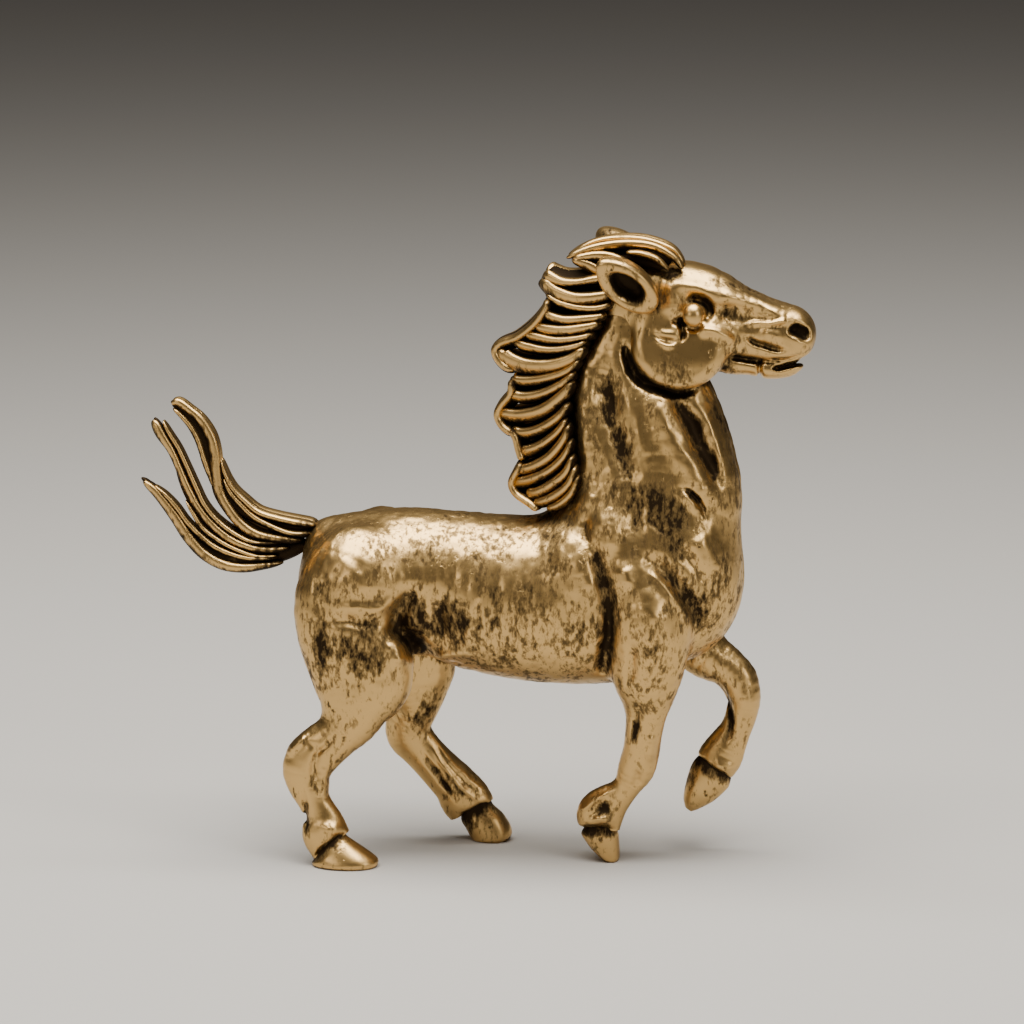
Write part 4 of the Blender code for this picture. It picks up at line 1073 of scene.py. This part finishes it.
def make_forelock():
    """The strands over a core painted fully dark as the shade in the gaps between them; the two by
    the ears and the brow strand lie on both sides.
    """
    shells = []
    for y, size, line in FORELOCK:
        rows = smooth_rows(line, 3)
        x, z = off_board(rows[:, 0], rows[:, 1], y)
        s = np.linspace(0, 1, len(rows))
        swell = size * (0.55 + 0.45 * np.sin(math.pi * s))
        path = np.column_stack([x, y + 0 * s, z, swell, 0.5 + 0 * s])
        shells.append(strand(path, 4, 16, 0.4 if y < 0 else -0.4))
    shells += [flipped(shells[k]) for k in (0, 5, 6)]
    core = strand([(15.2, 0, 46.5, 0.8, 1.7), (13.0, 0, 47.3, 1.0, 2.1), (10.4, 0, 47.3, 1.1, 2.1),
                   (8.6, 0, 47.2, 0.8, 1.5), (7.6, 0, 47.1, 0.4, 0.8)], 6, 20)
    # painted shade: the core fully dark
    shells.append((core[0], core[1], np.full(len(core[0]), 1.0)))
    points, faces, patina_and_shade = bundle(shells)
    piece("forelock", points, faces, patina_and_shade)


# Hooves, ears and eyes

HOOVES = {
    "hoof_hind_right": [
        (-11.6, 1.2, -9.7, 2.9, -4.45, 0.9), (-12.0, 0.42, -9.5, 2.4, -4.5, 1.25),
        (-12.15, 0.15, -8.9, 1.95, -4.55, 1.5), (-12.0, 0.02, -7.7, 1.15, -4.6, 1.72),
        (-11.8, 0.0, -7.0, 0.55, -4.6, 1.78), (-11.4, 0.0, -7.1, 0.05, -4.6, 1.6),
        (-10.9, 0.0, -7.6, 0.0, -4.6, 1.3),
    ],
    "hoof_hind_left": [
        (-1.5, 2.3, 0.7, 3.6, 4.1, 0.9), (-1.5, 1.5, 1.0, 2.8, 4.15, 1.2),
        (-1.15, 0.9, 1.75, 2.1, 4.15, 1.4), (-0.8, 0.25, 2.35, 1.2, 4.15, 1.5),
        (-0.6, 0.0, 2.5, 0.5, 4.15, 1.5), (-0.3, 0.0, 2.2, 0.0, 4.15, 1.3),
    ],
    "hoof_fore_right": [
        (8.9, 3.0, 11.0, 3.0, -1.25, 0.9), (8.5, 2.3, 11.35, 2.3, -1.2, 1.2),
        (8.6, 1.9, 11.4, 1.85, -1.15, 1.22), (9.2, 1.0, 11.45, 1.0, -1.0, 1.15),
        (9.9, 0.3, 11.45, 0.3, -0.95, 1.0), (10.3, 0.0, 11.3, 0.0, -0.95, 0.8),
    ],
    "hoof_fore_left": [
        (17.7, 7.9, 19.9, 6.3, 3.0, 0.9), (17.0, 7.25, 19.7, 5.25, 3.0, 1.25),
        (16.6, 6.5, 19.4, 4.8, 3.0, 1.3), (16.25, 5.2, 18.5, 3.95, 3.0, 1.2),
        (16.1, 4.2, 17.4, 3.3, 3.0, 0.9), (16.2, 3.5, 16.8, 3.05, 3.0, 0.5),
    ],
}

def make_hoof(name, pairs):
    """An oval across each outline pair: middle + reach cos(t), width sin(t), squared a little at
    the toe by raising cos and sin to 0.9."""
    rows = smooth_rows(pairs, 6)
    turn = np.linspace(0, math.tau, 48, endpoint=False)
    c = np.sign(np.cos(turn)) * np.abs(np.cos(turn)) ** 0.92
    s = np.sign(np.sin(turn)) * np.abs(np.sin(turn)) ** 0.92
    x = (rows[:, [0]] + rows[:, [2]]) / 2 + (rows[:, [2]] - rows[:, [0]]) / 2 * c
    z = (rows[:, [1]] + rows[:, [3]]) / 2 + (rows[:, [3]] - rows[:, [1]]) / 2 * c
    y = rows[:, [4]] + rows[:, [5]] * s
    rings = np.stack([x, y, np.maximum(z, 0)], -1)
    points, faces = closed_rings(rings)
    faces = outward(points, faces)
    # painted shade: darkest in the band at the top of the hoof under the leg's end, and darker on the
    # heel side towards the top; a little patina all over
    down = np.linspace(0, 1, len(rows))[:, None] * np.ones(48)
    heel = 0.35 * (c < -0.2) * (1 - down)
    patina_and_shade = np.append((0.08 + np.exp(-(down / 0.2) ** 2) * 0.8 + heel).ravel(), [0.9, 0.2])
    piece(name, points, faces, patina_and_shade)


# radius share and height of the ear's rings, from its root over the rim into the hollow
EAR_PROFILE = [(0.25, -1.5), (0.62, -1.2), (0.86, -0.6), (0.98, 0.1), (1.0, 0.5), (0.93, 0.76),
               (0.78, 0.86), (0.62, 0.76), (0.5, 0.45), (0.42, 0.0), (0.28, -0.3)]
EAR_LONG, EAR_WIDE = 2.8, 1.68
EAR_PLACE, EAR_ROLL, EAR_SWING = (12.15, 3.9, 45.85), 24, 46
LEFT_EAR_BACK, LEFT_EAR_UP = 0.9, 0.85
EYE_PLACE, EYE_RADII = (17.0, 2.95, 43.4), (0.82, 0.85, 0.92)


def make_ear(side):
    """A leaf-shaped cup: rings of an ellipse that swell to the rim, turn over it and go down into
    the hollow, the leaf pointed at its tip by pushing x out by a tenth of (-cos t)^6."""
    rows = smooth_rows(EAR_PROFILE, 5)
    turn = np.linspace(0, math.tau, 56, endpoint=False)
    leaf = 1 + 0.1 * np.maximum(-np.cos(turn), 0) ** 6
    x = EAR_LONG * rows[:, [0]] * np.cos(turn) * leaf
    z = EAR_WIDE * rows[:, [0]] * np.sin(turn)
    y = rows[:, [1]] * np.ones_like(turn)
    rings = np.stack([x, y * side, z], -1)
    points, faces = closed_rings(rings)
    tilt = np.array(Matrix.Rotation(math.radians(-EAR_ROLL * side), 3, "X")
                    @ Matrix.Rotation(math.radians(EAR_SWING), 3, "Y"))
    left = side > 0
    x, y, z = EAR_PLACE
    points = points @ tilt.T + np.array([x - LEFT_EAR_BACK * left, y * side, z + LEFT_EAR_UP * left])
    faces = outward(points, faces)
    s = np.linspace(0, 1, len(rows))[:, None] * np.ones(56)
    # darkening: patina with painted shade in the ear's hollow, and painted shade at its root where it
    # sinks into the head
    patina_and_shade = 0.12 + 0.88 * smoothstep(s, 0.68, 0.84) + 0.5 * smoothstep(-s, -0.3, -0.05)
    patina_and_shade = np.append(patina_and_shade.ravel(), [0.9, 1.0])
    name = "ear_left" if side > 0 else "ear_right"
    piece(name, points, faces, patina_and_shade)


def make_eye(side):
    """A bead: the sphere (cos a cos b, cos a sin b, sin a) times the eye's three radii."""
    deep, broad, tall = EYE_RADII
    a = np.linspace(-0.49 * math.pi, 0.49 * math.pi, 28)[:, None]
    b = np.linspace(0, math.tau, 44, endpoint=False)[None, :]
    rings = [deep * np.cos(a) * np.cos(b), broad * np.cos(a) * np.sin(b), tall * np.sin(a) + 0 * b]
    points, faces = closed_rings(np.stack(rings, -1))
    points = points + np.array([EYE_PLACE[0], EYE_PLACE[1] * side, EYE_PLACE[2]])
    name = "eye_left" if side > 0 else "eye_right"
    piece(name, points, outward(points, faces), np.full(len(points), 0.08))


# Antique bronze


RUBBED_METAL = (0.62, 0.40, 0.15, 1)
# brown-black of the patina, also laid on as painted shade
PATINA_AND_SHADE_BROWN = (0.030, 0.019, 0.010, 1)
SMOOTHEST, ROUGHEST = 0.25, 0.62


def antique_bronze():
    """Rubbed bronze: bright where it is handled, brown-black as patina in recesses, pits and
    blotches, and as painted shade where the skin's darkening attribute holds it.
    """
    material = bpy.data.materials.new("antique_bronze")
    material.use_nodes = True
    nodes, links = material.node_tree.nodes, material.node_tree.links
    shader = nodes["Principled BSDF"]
    shader.inputs["Metallic"].default_value = 1.0
    place = nodes.new("ShaderNodeTexCoord")
    # the skin's darkening attribute: patina with painted shade
    patina_and_shade = nodes.new("ShaderNodeAttribute")
    patina_and_shade.attribute_name = "patina_and_shade"

    def noise(scale, detail, rough, stretch=None):
        node = nodes.new("ShaderNodeTexNoise")
        node.inputs["Scale"].default_value = scale
        node.inputs["Detail"].default_value = detail
        node.inputs["Roughness"].default_value = rough
        source = place.outputs["Object"]
        if stretch:
            mapping = nodes.new("ShaderNodeMapping")
            mapping.inputs["Scale"].default_value = stretch
            links.new(source, mapping.inputs["Vector"])
            source = mapping.outputs["Vector"]
        links.new(source, node.inputs["Vector"])
        return node.outputs["Fac"]

    def ramp(source, stops):
        node = nodes.new("ShaderNodeValToRGB")
        node.color_ramp.elements[0].position = stops[0][0]
        node.color_ramp.elements[0].color = (*[stops[0][1]] * 3, 1)
        node.color_ramp.elements[1].position = stops[-1][0]
        node.color_ramp.elements[1].color = (*[stops[-1][1]] * 3, 1)
        for position, value in stops[1:-1]:
            node.color_ramp.elements.new(position).color = (value, value, value, 1)
        links.new(source, node.inputs["Fac"])
        return node.outputs["Color"]

    def maths(operation, a, b):
        node = nodes.new("ShaderNodeMath")
        node.operation = operation
        node.use_clamp = True
        for socket, value in zip(node.inputs, (a, b)):
            if isinstance(value, float):
                socket.default_value = value
            else:
                links.new(value, socket)
        return node.outputs[0]

    blotch = noise(420, 3, 0.55, (1.0, 1.0, 0.7))
    pits = noise(1500, 4, 0.6, (1.0, 1.0, 0.55))
    cloud = noise(190, 2, 0.5)
    where_pitted = ramp(cloud, [(0.38, 0.0), (0.55, 1.0)])
    pit_mask = maths("MULTIPLY", ramp(pits, [(0.60, 0), (0.68, 1)]), where_pitted)
    fleck = noise(2600, 3, 0.65, (1.0, 1.0, 0.45))
    flecks = maths("MULTIPLY", ramp(fleck, [(0.38, 0), (0.64, 1)]), 0.30)
    clouds = maths("MULTIPLY", ramp(blotch, [(0.36, 0), (0.66, 1)]), 0.24)
    hidden = maths("MULTIPLY", patina_and_shade.outputs["Fac"], 0.75)
    mottled = maths("ADD", hidden, maths("ADD", flecks, clouds))
    deep = ramp(mottled, [(0.44, 0), (0.58, 0.66), (0.78, 1)])
    dark = maths("MAXIMUM", deep, maths("MULTIPLY", pit_mask, 0.85))
    tint = nodes.new("ShaderNodeMix")
    tint.data_type = "RGBA"
    tint.inputs["A"].default_value = RUBBED_METAL
    tint.inputs["B"].default_value = PATINA_AND_SHADE_BROWN
    links.new(dark, tint.inputs["Factor"])
    links.new(tint.outputs["Result"], shader.inputs["Base Color"])
    rough = nodes.new("ShaderNodeMapRange")
    rough.inputs["To Min"].default_value = SMOOTHEST
    rough.inputs["To Max"].default_value = ROUGHEST
    links.new(maths("MAXIMUM", dark, maths("MULTIPLY", blotch, 0.45)), rough.inputs["Value"])
    links.new(rough.outputs["Result"], shader.inputs["Roughness"])
    bump = nodes.new("ShaderNodeBump")
    bump.inputs["Strength"].default_value = 0.5
    bump.inputs["Distance"].default_value = 0.00012
    grain = maths("MULTIPLY", noise(900, 3, 0.5), 0.5)
    links.new(maths("SUBTRACT", grain, maths("MULTIPLY", pit_mask, 0.5)), bump.inputs["Height"])
    links.new(bump.outputs["Normal"], shader.inputs["Normal"])
    return material


BRONZE = antique_bronze()

make_torso()
make_neck()
for leg_name in LEGS:
    make_leg(leg_name)
make_head()
make_mane()
make_tail()
make_forelock()
for hoof_name, hoof_pairs in HOOVES.items():
    make_hoof(hoof_name, hoof_pairs)
for ear_side in (-1, 1):
    make_ear(ear_side)
    make_eye(ear_side)


# Studio


FLOOR_REACH = 3.0
FLOOR_PAINT = (0.45, 0.435, 0.41, 1)
# each light: name, place, size, power, colour
LIGHTS = [
    ("overhead", (0.0, -0.03, 0.26), (0.30, 0.20), 2.1, (1.0, 0.97, 0.92)),
    ("front_right", (0.24, -0.16, 0.12), (0.06, 0.14), 0.16, (1.0, 0.96, 0.9)),
    ("front_left", (-0.20, -0.26, 0.12), (0.16, 0.10), 0.14, (1.0, 0.93, 0.84)),
]
TURN, RISE = 6, 12                       # the camera's angles in degrees
CAMERA_REACH = 400                       # and its distance in units
CAMERA_AIM = (2.94, 0, 27.26)
UNITS_IN_VIEW = 1024 / 13.0
SENSOR = 36


def make_floor():
    far = FLOOR_REACH
    mesh = bpy.data.meshes.new("floor")
    corners = [(-far, -far, 0), (far, -far, 0), (far, far, 0), (-far, far, 0)]
    mesh.from_pydata(corners, [], [(0, 1, 2, 3)])
    floor = bpy.data.objects.new("floor", mesh)
    bpy.context.scene.collection.objects.link(floor)
    paint = bpy.data.materials.new("pale_floor")
    paint.use_nodes = True
    shader = paint.node_tree.nodes["Principled BSDF"]
    shader.inputs["Base Color"].default_value = FLOOR_PAINT
    shader.inputs["Roughness"].default_value = 0.8
    mesh.materials.append(paint)


def soft_light(name, place, size, power, colour):
    """A rectangle of light that faces the middle of the horse."""
    aim = (0.0, 0.0, 26 * unit)
    data = bpy.data.lights.new(name, "AREA")
    data.shape = "RECTANGLE"
    data.size, data.size_y = size
    data.energy = power
    data.color = colour
    light = bpy.data.objects.new(name, data)
    light.location = place
    light.rotation_euler = (Vector(aim) - Vector(place)).to_track_quat("-Z", "Y").to_euler()
    bpy.context.scene.collection.objects.link(light)


def make_studio():
    world = bpy.data.worlds.new("studio")
    bpy.context.scene.world = world
    world.use_nodes = True
    world.node_tree.nodes["Background"].inputs["Color"].default_value = (0.17, 0.15, 0.13, 1)
    world.node_tree.nodes["Background"].inputs["Strength"].default_value = 0.32
    for light in LIGHTS:
        soft_light(*light)


def make_camera():
    """Looks from the horse's right, turned a little towards its nose and raised."""
    turn, rise = math.radians(TURN), math.radians(RISE)
    aim = Vector(CAMERA_AIM) * unit
    back = Vector((math.sin(turn) * math.cos(rise), -math.cos(turn) * math.cos(rise), math.sin(rise)))
    data = bpy.data.cameras.new("camera")
    data.sensor_width = SENSOR
    data.lens = SENSOR / UNITS_IN_VIEW * CAMERA_REACH
    data.clip_start = 0.01
    camera = bpy.data.objects.new("camera", data)
    camera.location = aim + back * CAMERA_REACH * unit
    camera.rotation_euler = (-back).to_track_quat("-Z", "Y").to_euler()
    bpy.context.scene.collection.objects.link(camera)
    bpy.context.scene.camera = camera


make_floor()
make_studio()
make_camera()
